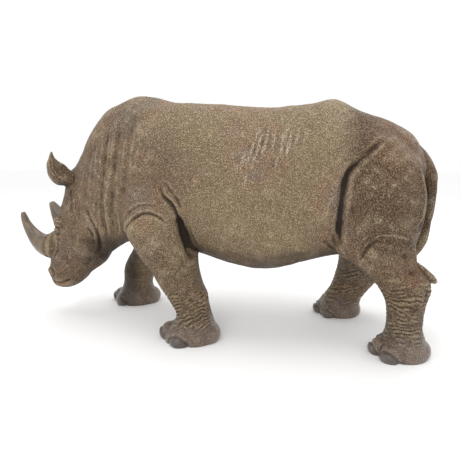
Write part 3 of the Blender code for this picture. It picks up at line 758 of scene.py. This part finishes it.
def add_body(figure):
    """The trunk, head, legs and big muscles, blended softly."""
    bm = bmesh.new()
    add_loft(bm, profile_rings(TRUNK, 0.14))
    add_loft(bm, profile_rings(HEAD, 0.0))
    for leg in (LEFT_FORELEG, RIGHT_FORELEG, LEFT_HINDLEG, RIGHT_HINDLEG):
        add_loft(bm, leg_rings(leg))
    for mass in BODY_MASSES:
        add_mass(bm, *mass)
    merge_into(figure, bm, BODY_VOXEL, BODY_BLEND)


def add_details(figure):
    """Horns, tail, ears, toes and the small masses, joined to the body more crisply."""
    bm = bmesh.new()
    bm.from_mesh(figure.data)
    for form in (FRONT_HORN, REAR_HORN, TAIL):
        add_loft(bm, round_rings(form))
    add_ears(bm)
    for mass in DETAIL_MASSES:
        add_mass(bm, *mass)
    for centre, radii, scale, turn in foot_lobes(4):
        add_mass(bm, centre, Vector(radii) * scale, turn, "Z")
    merge_into(figure, bm, DETAIL_VOXEL, DETAIL_BLEND)


def read_vertices(mesh, what):
    """All the vertices' places or normals, one row each."""
    flat = np.zeros(len(mesh.vertices) * 3, dtype=np.float32)
    mesh.vertices.foreach_get(what, flat)
    return flat.reshape(-1, 3).astype(float)


def surface(mesh):
    """The vertices' places and normals."""
    return read_vertices(mesh, "co"), read_vertices(mesh, "normal")


def write_places(mesh, places):
    mesh.vertices.foreach_set("co", places.astype(np.float32).ravel())
    mesh.update()


def soft_step(low, high, values):
    """0 below low, 1 above high, and a smooth rise between."""
    share = np.clip((values - low) / (high - low), 0.0, 1.0)
    return share * share * (3 - 2 * share)


def drift(places, size, seed):
    """A smooth wandering value between about -1 and 1, from waves of several directions."""
    draw = np.random.default_rng(seed)
    total = np.zeros(len(places))
    for _ in range(9):
        way = draw.normal(size=3)
        way /= np.linalg.norm(way)
        total += np.sin(places @ way * draw.uniform(0.6, 1.6) * 2 * np.pi / size
                        + draw.uniform(0, 2 * np.pi))
    return total / 3.6


def waves(places, entries):
    """Drifts of several lengths and heights added up."""
    return sum(drift(places, length, seed) * height for length, seed, height in entries)


def press_folds(mesh, folds):
    """Presses each fold into the hide and swells the hide beside it."""
    places, normals = surface(mesh)
    depth_in = np.zeros(len(places))
    for side, depth, half_width, swell, points in folds:
        near, gap, hand, share = beside_run(places, side, 5 * half_width, points)
        taper = soft_step(0.0, FOLD_TAPER, np.minimum(share, 1 - share))
        outward = normals[near, 1] * (side if side else np.sign(places[near, 1]))
        facing = np.clip((outward - 0.1) / 0.3, 0.0, 1.0)
        groove = np.exp(-(gap / half_width) ** 2)
        beside = np.exp(-((gap * hand * np.sign(swell) - 2.2 * half_width) / half_width) ** 2)
        depth_in[near] += depth * (groove - abs(swell) * beside) * taper * facing
    write_places(mesh, places - normals * depth_in[:, None])


def rib_folds():
    """The slanting folds over the ribs, as entries like the other folds."""
    folds = []
    for x, z, lean, drop, depth in RIB_FOLDS:
        points = [(x, z), (x - lean * 0.42, z - drop * 0.5), (x - lean, z - drop)]
        folds.append((0, -depth, RIB_FOLD_HALF_WIDTH, 0.0, points))
    return folds


def share_on_lines(places, lines):
    """How near each place is to one of the lines, from 0 to 1, fading at their ends."""
    share_near = np.zeros(len(places))
    for side, half_width, points in lines:
        near, gap, _, share = beside_run(places, side, 3 * half_width, points)
        fade = np.clip(np.minimum(share, 1 - share) / LINE_FADE, 0.0, 1.0)
        share_near[near] = np.maximum(share_near[near], np.exp(-(gap / half_width) ** 2) * fade)
    return share_near


def leg_rings_at(places):
    """How deep the rings of wrinkles are at each place, how far it is on a ring's crest, and
    how far it is among the rings at all."""
    wander = waves(places, RING_WANDER)
    breaks = soft_step(-0.75, 0.35, drift(places, 0.055, 5))
    depth_in = np.zeros(len(places))
    crest = np.zeros(len(places))
    ringed = np.zeros(len(places))
    x, y, z = places.T
    for side, front, rear, low, high, spacing, slope, depth in LEG_WRINKLES:
        height = z - slope * (x - (front + rear) / 2) + wander
        turn = (height / spacing + 0.5) % 1.0 - 0.5
        groove = np.exp(-turn ** 2 / RING_GROOVE)
        inside = (x > front) & (x < rear) & (y * side > 0)
        level = soft_step(low - 0.03, low + 0.01, z) * (1 - soft_step(high - 0.04, high + 0.03, z))
        here = breaks * level * inside
        depth_in += depth * (groove - RING_SWELL) * here
        plain = min(depth / CLEAR_RING_DEPTH, 1.0)
        crest += np.exp(-((np.abs(turn) - 0.5) / RING_CREST) ** 2) * here * plain
        ringed += level * inside * plain
    return depth_in, crest, ringed


def ring_legs(mesh):
    """Presses broken rings of wrinkles round the shanks."""
    places, normals = surface(mesh)
    depth_in, _, _ = leg_rings_at(places)
    write_places(mesh, places - normals * depth_in[:, None])


def press_hollows(mesh):
    places, normals = surface(mesh)
    for centre, radius, depth in HOLLOWS:
        gap = np.linalg.norm(places - np.array(centre), axis=1)
        places -= normals * (depth * np.exp(-(gap / radius) ** 2))[:, None]
    write_places(mesh, places)


def roll_surface(mesh):
    """Gives the hide the slow unevenness of hand modelling."""
    places, normals = surface(mesh)
    uneven = waves(places, UNEVENNESS) * (1 - horn_share(places))
    write_places(mesh, places + normals * uneven[:, None])


def gap_to_horn(places, horn):
    """How far each place is outside the round sections of a horn."""
    gaps = []
    for (x, z), radius in horn:
        gaps.append(np.linalg.norm(places - np.array((x, 0.0, z)), axis=1) - radius)
    return np.min(gaps, axis=0)


def horn_share(places):
    """1 on the bare horns, 0 on the hide."""
    x, y, z = places.T
    front = soft_step(1.092, 1.104, -x + 0.10 * (z - 0.32))
    front *= soft_step(0.245, 0.255, z)
    ahead = -x - 1.020 + 0.55 * (z - 0.440)
    rear = soft_step(0.0, 0.016, ahead) * soft_step(0.428, 0.444, z)
    rear *= 1 - soft_step(0.008, 0.020, gap_to_horn(places, REAR_HORN))
    return np.clip(front + rear, 0.0, 1.0) * (np.abs(y) < 0.07)


def paint_shares(mesh):
    """Where the paint changes: the darker parts, the painted shade, the feet, the streaked neck and
    the rest.
    """
    places, normals = surface(mesh)
    x, y, z = places.T
    downward = -normals[:, 2]
    head = soft_step(0.78, 0.92, -x)
    under_belly = soft_step(-0.29, -0.21, x) * (1 - soft_step(0.15, 0.23, x))
    legs = (1 - soft_step(0.34, 0.52, z)) * (1 - under_belly)
    parts = {
        "thighs": soft_step(0.22, 0.33, x) * soft_step(0.33, 0.43, z),
        "rump": soft_step(0.30, 0.44, x) * soft_step(0.58, 0.78, z),
        "head": head,
        "forehead": head * soft_step(0.42, 0.54, z),
        "ears": soft_step(0.90, 0.93, -x) * soft_step(0.60, 0.64, z),
        # Painted shade under the head.
        "shaded_throat": soft_step(0.66, 0.74, -x) * (1 - soft_step(0.36, 0.44, z)) * (1 - head),
        "left_legs": legs * (y < 0),
        "right_legs": legs * (y >= 0),
        # Painted shade where the hide faces down.
        "shaded_underside": soft_step(0.35, 0.95, downward),
        "neck": soft_step(0.42, 0.62, -x) * soft_step(0.40, 0.52, z),
        "shoulder": np.exp(-(((x + 0.44) / 0.16) ** 2 + ((z - 0.70) / 0.17) ** 2)),
    }
    hock = np.exp(-(((x - 0.500) / 0.040) ** 2 + ((z - 0.320) / 0.055) ** 2))
    # Painted shadow along the lines of the armpits and thighs.
    painted_shadow = share_on_lines(places, PAINTED_SHADOW_LINES)
    ribs = [(side, half_width, points) for side, _, half_width, _, points in rib_folds()]
    _, crest, ringed = leg_rings_at(places)
    return {
        "dark": np.max([DARKNESS[name] * part for name, part in parts.items()], axis=0),
        "foot": 1 - soft_step(0.045, 0.140, z + 0.016 * drift(places, 0.09, 21)),
        "neck": parts["neck"],
        "hock": hock * (np.abs(y) > 0.15),
        # Painted shade: under the head, along the shadow lines and where the hide faces down.
        "shade": np.max([parts["shaded_throat"], painted_shadow, soft_step(0.50, 0.98, downward)], axis=0),
        "rust": parts["rump"] * (1 - 0.5 * soft_step(0.50, 0.56, x)),
        "crest": crest,
        "ringed": ringed,
        "rib": share_on_lines(places, ribs),
        "horn": horn_share(places),
        "nail": nail_shares(places)[0],
    }


def nail_shares(places):
    """How far each place is on a nail, and how far in the groove round one. Lengths here
    are shares of the toe's half sizes."""
    nail = np.zeros(len(places))
    groove = np.zeros(len(places))
    for centre, radii, scale, turn in foot_lobes(3):
        back = np.array(Matrix.Rotation(np.radians(-turn), 3, "Z"))
        local = (places - np.array(centre)) @ back.T / (np.array(radii) * scale)
        edge = np.hypot(local[:, 1] / 0.84, (local[:, 2] + 0.42) / 0.92)
        ahead = soft_step(0.05, 0.30, -local[:, 0]) * (np.linalg.norm(local, axis=1) < 1.35)
        nail = np.maximum(nail, (1 - soft_step(0.88, 1.0, edge)) * ahead)
        groove = np.maximum(groove, np.exp(-((edge - 1.04) / 0.11) ** 2) * ahead)
    return nail, groove


def shape_nails(mesh):
    """Cuts a groove round each nail and lets the nail stand a little proud."""
    places, normals = surface(mesh)
    nail, groove = nail_shares(places)
    write_places(mesh, places - normals * (NAIL_GROOVE * groove - NAIL_RISE * nail)[:, None])


def smoothed(values, edges, passes):
    """Values averaged with their neighbours over the mesh, a number of times."""
    count = len(values)
    valence = np.bincount(edges.ravel(), minlength=count).astype(float)
    for _ in range(passes):
        total = np.zeros_like(values)
        for axis in range(values.shape[1]):
            total[:, axis] = (
                np.bincount(edges[:, 0], values[edges[:, 1], axis], count)
                + np.bincount(edges[:, 1], values[edges[:, 0], axis], count)
            )
        values = 0.5 * values + 0.5 * total / valence[:, None]
    return values


def relief_shares(mesh):
    """How far each vertex lies in a crease, from 0 to 1, and how far on a ridge."""
    places, normals = surface(mesh)
    edges = np.zeros(len(mesh.edges) * 2, dtype=np.int32)
    mesh.edges.foreach_get("vertices", edges)
    edges = edges.reshape(-1, 2)
    own = smoothed(places, edges, OWN_PASSES)
    near = smoothed(own, edges, NEAR_PASSES)
    wide = smoothed(near, edges, WIDE_PASSES)
    depths = [np.einsum("ij,ij->i", smoother - rougher, normals)
              for smoother, rougher in ((near, own), (wide, near))]
    shares = {}
    for name, limits, sign in (("recess", CREASES, 1), ("ridge", RIDGES, -1)):
        taken = sum(soft_step(low, high, sign * depth) * much
                    for (low, high, much), depth in zip(limits, depths))
        shares[name] = np.clip(taken, 0.0, 1.0)
    return shares


def keep_shares(mesh, shares):
    """Stores named values for each vertex, for the paint to read."""
    for name, values in shares.items():
        layer = mesh.attributes.new(name, "FLOAT", "POINT")
        layer.data.foreach_set("value", values.astype(np.float32))


def ground_cutter():
    """A block whose top is the ground, to cut the soles flat."""
    bm = bmesh.new()
    block = Matrix.Translation((0.0, 0.0, -0.25)) @ Matrix.Diagonal((4.0, 2.0, 0.5, 1.0))
    bmesh.ops.create_cube(bm, size=1.0, matrix=block)
    return piece_from(bm, "ground_cutter")


def flatten_soles(figure):
    cutter = ground_cutter()
    soles = figure.modifiers.new("flat_soles", "BOOLEAN")
    soles.operation = "DIFFERENCE"
    soles.object = cutter
    bake_modifiers(figure)
    bpy.data.objects.remove(cutter)


def thin_faces(figure):
    triangles = sum(len(face.vertices) - 2 for face in figure.data.polygons)
    fewer = figure.modifiers.new("fewer_faces", "DECIMATE")
    fewer.ratio = FACE_COUNT / triangles
    bake_modifiers(figure)


def keep_outer_shell(figure):
    """Drops any small loose shell that the merging leaves inside the figure."""
    bm = bmesh.new()
    bm.from_mesh(figure.data)
    unseen = set(bm.verts)
    shells = []
    while unseen:
        front = [unseen.pop()]
        shell = list(front)
        while front:
            reached = []
            for vertex in front:
                for edge in vertex.link_edges:
                    other = edge.other_vert(vertex)
                    if other in unseen:
                        unseen.remove(other)
                        reached.append(other)
            shell += reached
            front = reached
        shells.append(shell)
    shells.sort(key=len)
    for shell in shells[:-1]:
        bmesh.ops.delete(bm, geom=shell, context="VERTS")
    bm.to_mesh(figure.data)
    bm.free()


def into_box(places, fitted):
    """Moves places from the figure's own box into the solid's."""
    own_low, own_high, low, high = fitted
    return low + (places - own_low) * (high - low) / (own_high - own_low)


def fit_to_solid(mesh):
    """Puts the figure exactly in the box of the solid that it stands for."""
    low, high = (np.array(corner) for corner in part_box("rhinoceros"))
    places = read_vertices(mesh, "co")
    fitted = (places.min(axis=0), places.max(axis=0), low, high)
    write_places(mesh, into_box(places, fitted))
    return fitted


def smooth_and_paint(mesh, paint):
    for face in mesh.polygons:
        face.use_smooth = True
    mesh.materials.append(paint)


class Mixer:
    """Adds nodes to one tree, each joined to other nodes or set to numbers and colours."""

    def __init__(self, tree):
        self.nodes = tree.nodes
        self.links = tree.links

    def feed(self, socket, value):
        """Joins a socket to another node's output, or sets it."""
        if isinstance(value, bpy.types.NodeSocket):
            self.links.new(value, socket)
        elif socket.type == "RGBA":
            socket.default_value = (*value, 1.0)
        else:
            socket.default_value = value

    def add(self, kind, **values):
        """A new node with its inputs and settings given by name."""
        made = self.nodes.new(kind)
        for name, value in values.items():
            label = name.replace("_", " ")
            if label in made.inputs:
                self.feed(made.inputs[label], value)
            else:
                setattr(made, name, value)
        return made

    def calculate(self, operation, *values, clamp=False):
        made = self.add("ShaderNodeMath", operation=operation, use_clamp=clamp)
        for socket, value in zip(made.inputs, values):
            self.feed(socket, value)
        return made.outputs[0]

    def product(self, first, *others):
        for value in others:
            first = self.calculate("MULTIPLY", first, value)
        return first

    def plus(self, base, value, factor, clamp=False):
        """The base with a share of another value added."""
        return self.calculate("MULTIPLY_ADD", value, factor, base, clamp=clamp)

    def larger(self, first, second):
        return self.calculate("MAXIMUM", first, second)

    def rise(self, value, low, high, new_low=0.0, new_high=1.0):
        """A value's place between two limits, smoothly."""
        made = self.add("ShaderNodeMapRange", interpolation_type="SMOOTHSTEP", Value=value,
                        From_Min=low, From_Max=high, To_Min=new_low, To_Max=new_high)
        return made.outputs["Result"]

    def colour(self, cover, under, over, blend="MIX"):
        """One colour laid over another, each a socket or a colour."""
        made = self.add("ShaderNodeMix", data_type="RGBA", blend_type=blend)
        for index, value in ((0, cover), (6, under), (7, over)):
            self.feed(made.inputs[index], value)
        return made.outputs[2]

    def ramp(self, value, stops):
        """A colour ramp through the given (place, colour) stops."""
        made = self.add("ShaderNodeValToRGB", Fac=value)
        elements = made.color_ramp.elements
        while len(elements) < len(stops):
            elements.new(0.5)
        for element, (place, colour) in zip(elements, stops):
            element.position = place
            element.color = (*colour, 1.0)
        return made.outputs[0]

    def noise(self, place, scale, detail=3.0, roughness=0.55):
        made = self.add("ShaderNodeTexNoise", Vector=place, Scale=scale, Detail=detail,
                        Roughness=roughness)
        return made.outputs["Fac"]

    def stretched(self, place, scale):
        return self.add("ShaderNodeMapping", Vector=place, Scale=scale).outputs[0]

    def share(self, name):
        """A value that the mesh holds at each vertex."""
        return self.add("ShaderNodeAttribute", attribute_name=name).outputs["Fac"]


def new_material(name):
    material = bpy.data.materials.new(name)
    material.use_nodes = True
    tree = material.node_tree
    return material, Mixer(tree), tree.nodes["Principled BSDF"].inputs


def leather_group():
    """Leathery hide: pebbles run together, with fine creases between them."""
    group = bpy.data.node_groups.new("leather_grain", "ShaderNodeTree")
    face = group.interface
    face.new_socket("Place", in_out="INPUT", socket_type="NodeSocketVector")
    face.new_socket("Paint", in_out="OUTPUT", socket_type="NodeSocketFloat")
    face.new_socket("Height", in_out="OUTPUT", socket_type="NodeSocketFloat")
    mixer = Mixer(group)
    place = mixer.add("NodeGroupInput").outputs["Place"]
    lumps = mixer.noise(place, 1.0 / PEBBLE, 0.0)
    small = mixer.noise(place, 1.0 / FINE_PEBBLE, 0.0)
    mixed = mixer.plus(mixer.product(lumps, 1.0 - FINE_SHARE), small, FINE_SHARE)
    paint = mixer.rise(mixed, 0.36, 0.64)
    grains = mixer.add("ShaderNodeTexVoronoi", feature="F1", Vector=place,
                       Scale=0.6 / PEBBLE, Randomness=0.8)
    dome = mixer.rise(grains.outputs["Distance"], 0.08, 0.72, 1.0, 0.0)
    mixer.add("NodeGroupOutput", Paint=paint, Height=mixer.plus(paint, dome, DOME_HEIGHT))
    return group


def brush_grain(mixer, place, share, grain, grainy, base):
    """The grain's dark creases and brushed tops. The brushing comes in clouds, is stronger
    where the hide faces up, as painted light from above, and runs down the neck and shoulder in
    strokes."""
    strokes = mixer.rise(mixer.noise(mixer.stretched(place, BRUSH_STROKES), 1.0), 0.48, 0.68)
    cloud = mixer.rise(mixer.noise(place, CLOUDS, 2.0, 0.50), 0.42, 0.68)
    cloud = mixer.larger(cloud, mixer.product(strokes, share["neck"], STROKE_BRUSHING))
    gaps = mixer.product(mixer.rise(grain, 0.55, 0.05), grainy, GAP_STRENGTH)
    base = mixer.colour(gaps, base, GAP_SHADE, "MULTIPLY")
    normal = mixer.add("ShaderNodeNewGeometry").outputs["Normal"]
    # Painted light from above: the tops lighten more where the hide faces up.
    upward = mixer.rise(mixer.add("ShaderNodeSeparateXYZ", Vector=normal).outputs["Z"], 0.30, 1.0)
    upward = mixer.product(upward, mixer.plus(1.0, share["dark"], -0.80))
    much = mixer.plus(mixer.plus(TOP_BRUSHING, cloud, CLOUD_BRUSHING), upward, UPWARD_BRUSHING_AND_TOP_LIGHT)
    much = mixer.product(much, mixer.plus(1.0, share["dark"], 0.55))
    tops = mixer.product(mixer.rise(grain, 0.50, 0.95), much, grainy)
    base = mixer.colour(tops, base, TOP_GLOW, "MULTIPLY")
    return mixer.colour(mixer.product(tops, TOP_TAN), base, BRUSHED_TAN)


def brush_ridges(mixer, place, share, grain, wrinkles, hide_only, base):
    """Light paint dragged over the ridges, the ribs and, in broken dashes with painted glints, the
    crests of the shanks' rings; dark wash between the rings; dark wash and painted shade in the
    folds and in the shaded parts."""
    dents = mixer.product(mixer.rise(wrinkles, 0.50, 0.34), share["ringed"], DENT_WASH)
    base = mixer.colour(dents, base, WASH_AND_SHADE_BROWN)
    brushed = mixer.product(share["ridge"], mixer.plus(0.20, grain, 0.55),
                            mixer.plus(1.0, share["foot"], -0.55), hide_only)
    base = mixer.colour(brushed, base, BRUSHED_TAN)
    # Painted glints on the tops of the shanks' wrinkles, joined to the gold of the crests.
    glints = mixer.product(mixer.rise(wrinkles, 0.56, 0.70), share["ringed"])
    dashes = mixer.rise(mixer.noise(place, RING_DASHES, 2.0), 0.44, 0.60)
    dashes = mixer.product(dashes, mixer.larger(share["crest"], glints), DASH_COVER)
    base = mixer.colour(dashes, base, RING_GOLD)
    flecks = mixer.product(share["rib"], mixer.rise(grain, 0.25, 0.75), FLECK_COVER)
    base = mixer.colour(flecks, base, RIB_TAN)
    # Dark wash and painted shade in the creases and folds, and painted shade where the shade share
    # lies.
    wash = mixer.product(share["recess"], RECESS_WASH_AND_SHADE)
    wash = mixer.plus(wash, share["shade"], SHADE_WASH, clamp=True)
    return mixer.colour(wash, base, WASH_AND_SHADE_BROWN)


def painted_hide():
    """Brown bronze paint over pebbled resin: dark wash and painted shade in the folds, brushed tan
    and painted top light on the tops.
    """
    material, mixer, shader = new_material("painted_hide")
    place = mixer.add("ShaderNodeTexCoord").outputs["Object"]
    share = {name: mixer.share(name) for name in SHARES}
    bare = mixer.larger(share["horn"], share["nail"])
    hide_only = mixer.calculate("SUBTRACT", 1.0, bare, clamp=True)
    grainy = mixer.plus(hide_only, share["foot"], -0.30, clamp=True)
    leather = mixer.add("ShaderNodeGroup", node_tree=leather_group())
    mixer.feed(leather.inputs["Place"], place)
    grain = leather.outputs["Paint"]
    wrinkles = mixer.noise(mixer.stretched(place, SHANK_WRINKLES), 1.0, 1.0)
    streaks = mixer.noise(mixer.stretched(place, HORN_STREAKS), 1.0, 4.0, 0.6)

    base = mixer.ramp(mixer.noise(place, PATCHES), PATCH_STOPS)
    for name, cover, brown in BROWN_COATS:
        base = mixer.colour(mixer.product(share[name], cover), base, brown)
    base = brush_grain(mixer, place, share, grain, grainy, base)
    base = brush_ridges(mixer, place, share, grain, wrinkles, hide_only, base)
    base = mixer.colour(share["horn"], base, mixer.ramp(streaks, HORN_STOPS))
    nails = mixer.ramp(mixer.noise(place, NAIL_MOTTLE), NAIL_STOPS)
    mixer.feed(shader["Base Color"], mixer.colour(share["nail"], base, nails))

    # The paint is satin, glossier on the feet, nails and horns, and dull in the folds.
    rough = mixer.rise(mixer.noise(place, SHEEN_MOTTLE), 0.3, 0.7, 0.50, 0.66)
    for value, change in ((share["foot"], -0.20), (share["dark"], -0.08), (bare, -0.10)):
        rough = mixer.plus(rough, value, change)
    rough = mixer.plus(rough, share["recess"], 0.20, clamp=True)
    mixer.feed(shader["Roughness"], rough)
    mixer.feed(shader["Specular IOR Level"], 0.30)
    mixer.feed(shader["Coat Weight"], mixer.product(mixer.larger(share["foot"], bare), 0.50))
    mixer.feed(shader["Coat Roughness"], 0.28)

    # Relief: pebbles and fine cracks on the hide, wrinkles between the shanks' rings, and
    # faint streaks on horn and nails.
    cracks = mixer.add("ShaderNodeTexVoronoi", feature="DISTANCE_TO_EDGE",
                       Vector=mixer.stretched(place, CRACK_SHAPE), Scale=CRACKS)
    crack_depth = mixer.rise(cracks.outputs["Distance"], 0.0, 0.10)
    relief = mixer.product(mixer.plus(leather.outputs["Height"], crack_depth, 0.20), grainy)
    relief = mixer.plus(relief, mixer.product(wrinkles, share["ringed"]), 1.6)
    relief = mixer.plus(relief, mixer.product(streaks, bare), 0.4)
    bump = mixer.add("ShaderNodeBump", Strength=0.95, Distance=0.0015, Height=relief)
    mixer.feed(shader["Normal"], bump.outputs[0])
    return material


def eye_paint():
    """Dark glossy paint, a little lighter in spots."""
    material, mixer, shader = new_material("eye_paint")
    place = mixer.add("ShaderNodeTexCoord").outputs["Object"]
    mixer.feed(shader["Base Color"], mixer.ramp(mixer.noise(place, EYE_MOTTLE, 2.0), EYE_STOPS))
    mixer.feed(shader["Roughness"], 0.16)
    mixer.feed(shader["Coat Weight"], 0.6)
    return material


def rhinoceros_figure():
    """The whole casting with its paint; gives back how it was fitted to the solid."""
    figure = piece_from(bmesh.new(), "rhinoceros_casting")
    add_body(figure)
    add_details(figure)
    keep_outer_shell(figure)
    press_folds(figure.data, FOLDS)
    press_folds(figure.data, FINE_FOLDS + rib_folds())
    roll_surface(figure.data)
    ring_legs(figure.data)
    press_hollows(figure.data)
    shape_nails(figure.data)
    flatten_soles(figure)
    thin_faces(figure)
    mesh = figure.data
    keep_shares(mesh, relief_shares(mesh) | paint_shares(mesh))
    fitted = fit_to_solid(mesh)
    smooth_and_paint(mesh, painted_hide())
    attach(figure, "root")
    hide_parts("rhinoceros")
    return fitted


def eyes(fitted):
    """Both eyeballs, set in their lids."""
    (x, y, z), radius = EYE
    paint = eye_paint()
    for name, side in (("left_eye", 1), ("right_eye", -1)):
        bm = bmesh.new()
        place = Matrix.Translation((x, y * side, z)) @ Matrix.Scale(radius, 4)
        bmesh.ops.create_uvsphere(bm, u_segments=32, v_segments=20, radius=1.0, matrix=place)
        for vertex in bm.verts:
            vertex.co = Vector(into_box(np.array(vertex.co), fitted))
        eye = piece_from(bm, name)
        smooth_and_paint(eye.data, paint)
        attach(eye, "root")


def pale_floor():
    """A plain floor, far wider than the view."""
    bm = bmesh.new()
    bmesh.ops.create_grid(bm, x_segments=1, y_segments=1, size=12.0)
    floor = piece_from(bm, "floor")
    material, mixer, shader = new_material("pale_floor")
    mixer.feed(shader["Base Color"], FLOOR_COLOUR)
    mixer.feed(shader["Roughness"], 0.9)
    floor.data.materials.append(material)


def soft_light(name, place, aim, size, watts, colour):
    """A square soft box that looks at a point."""
    data = bpy.data.lights.new(name, "AREA")
    data.size = size
    data.energy = watts
    data.color = colour
    light = put_in_scene(name, data)
    light.location = place
    light.rotation_euler = (Vector(aim) - Vector(place)).to_track_quat("-Z", "Y").to_euler()


def studio():
    """Soft boxes overhead and in front, a pale surrounding, and colours shown as they are."""
    bpy.context.scene.view_settings.view_transform = "Standard"
    middle = (0.0, 0.0, SHOULDER_HEIGHT * 0.5)
    for name, place, size, watts, colour in SOFT_LIGHTS:
        soft_light(name, place, middle, size, watts, colour)
    world = bpy.data.worlds.new("pale_surrounding")
    world.use_nodes = True
    background = world.node_tree.nodes["Background"]
    background.inputs["Color"].default_value = (1.0, 1.0, 1.0, 1.0)
    background.inputs["Strength"].default_value = WORLD_STRENGTH
    bpy.context.scene.world = world


def photograph_camera():
    """The camera at the photograph's place and angles."""
    data = bpy.data.cameras.new("camera")
    data.sensor_width = SENSOR_WIDTH
    data.lens = FOCAL_PIXELS / FRAME_PIXELS * SENSOR_WIDTH
    data.clip_start = 0.01
    camera = put_in_scene("camera", data)
    camera.location = Vector(CAMERA_PLACE) * SHOULDER_HEIGHT
    camera.rotation_euler = (np.radians(90.0 - CAMERA_PITCH), 0.0, np.radians(CAMERA_TURN))
    bpy.context.scene.camera = camera


def main():
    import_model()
    eyes(rhinoceros_figure())
    pale_floor()
    studio()
    photograph_camera()


main()
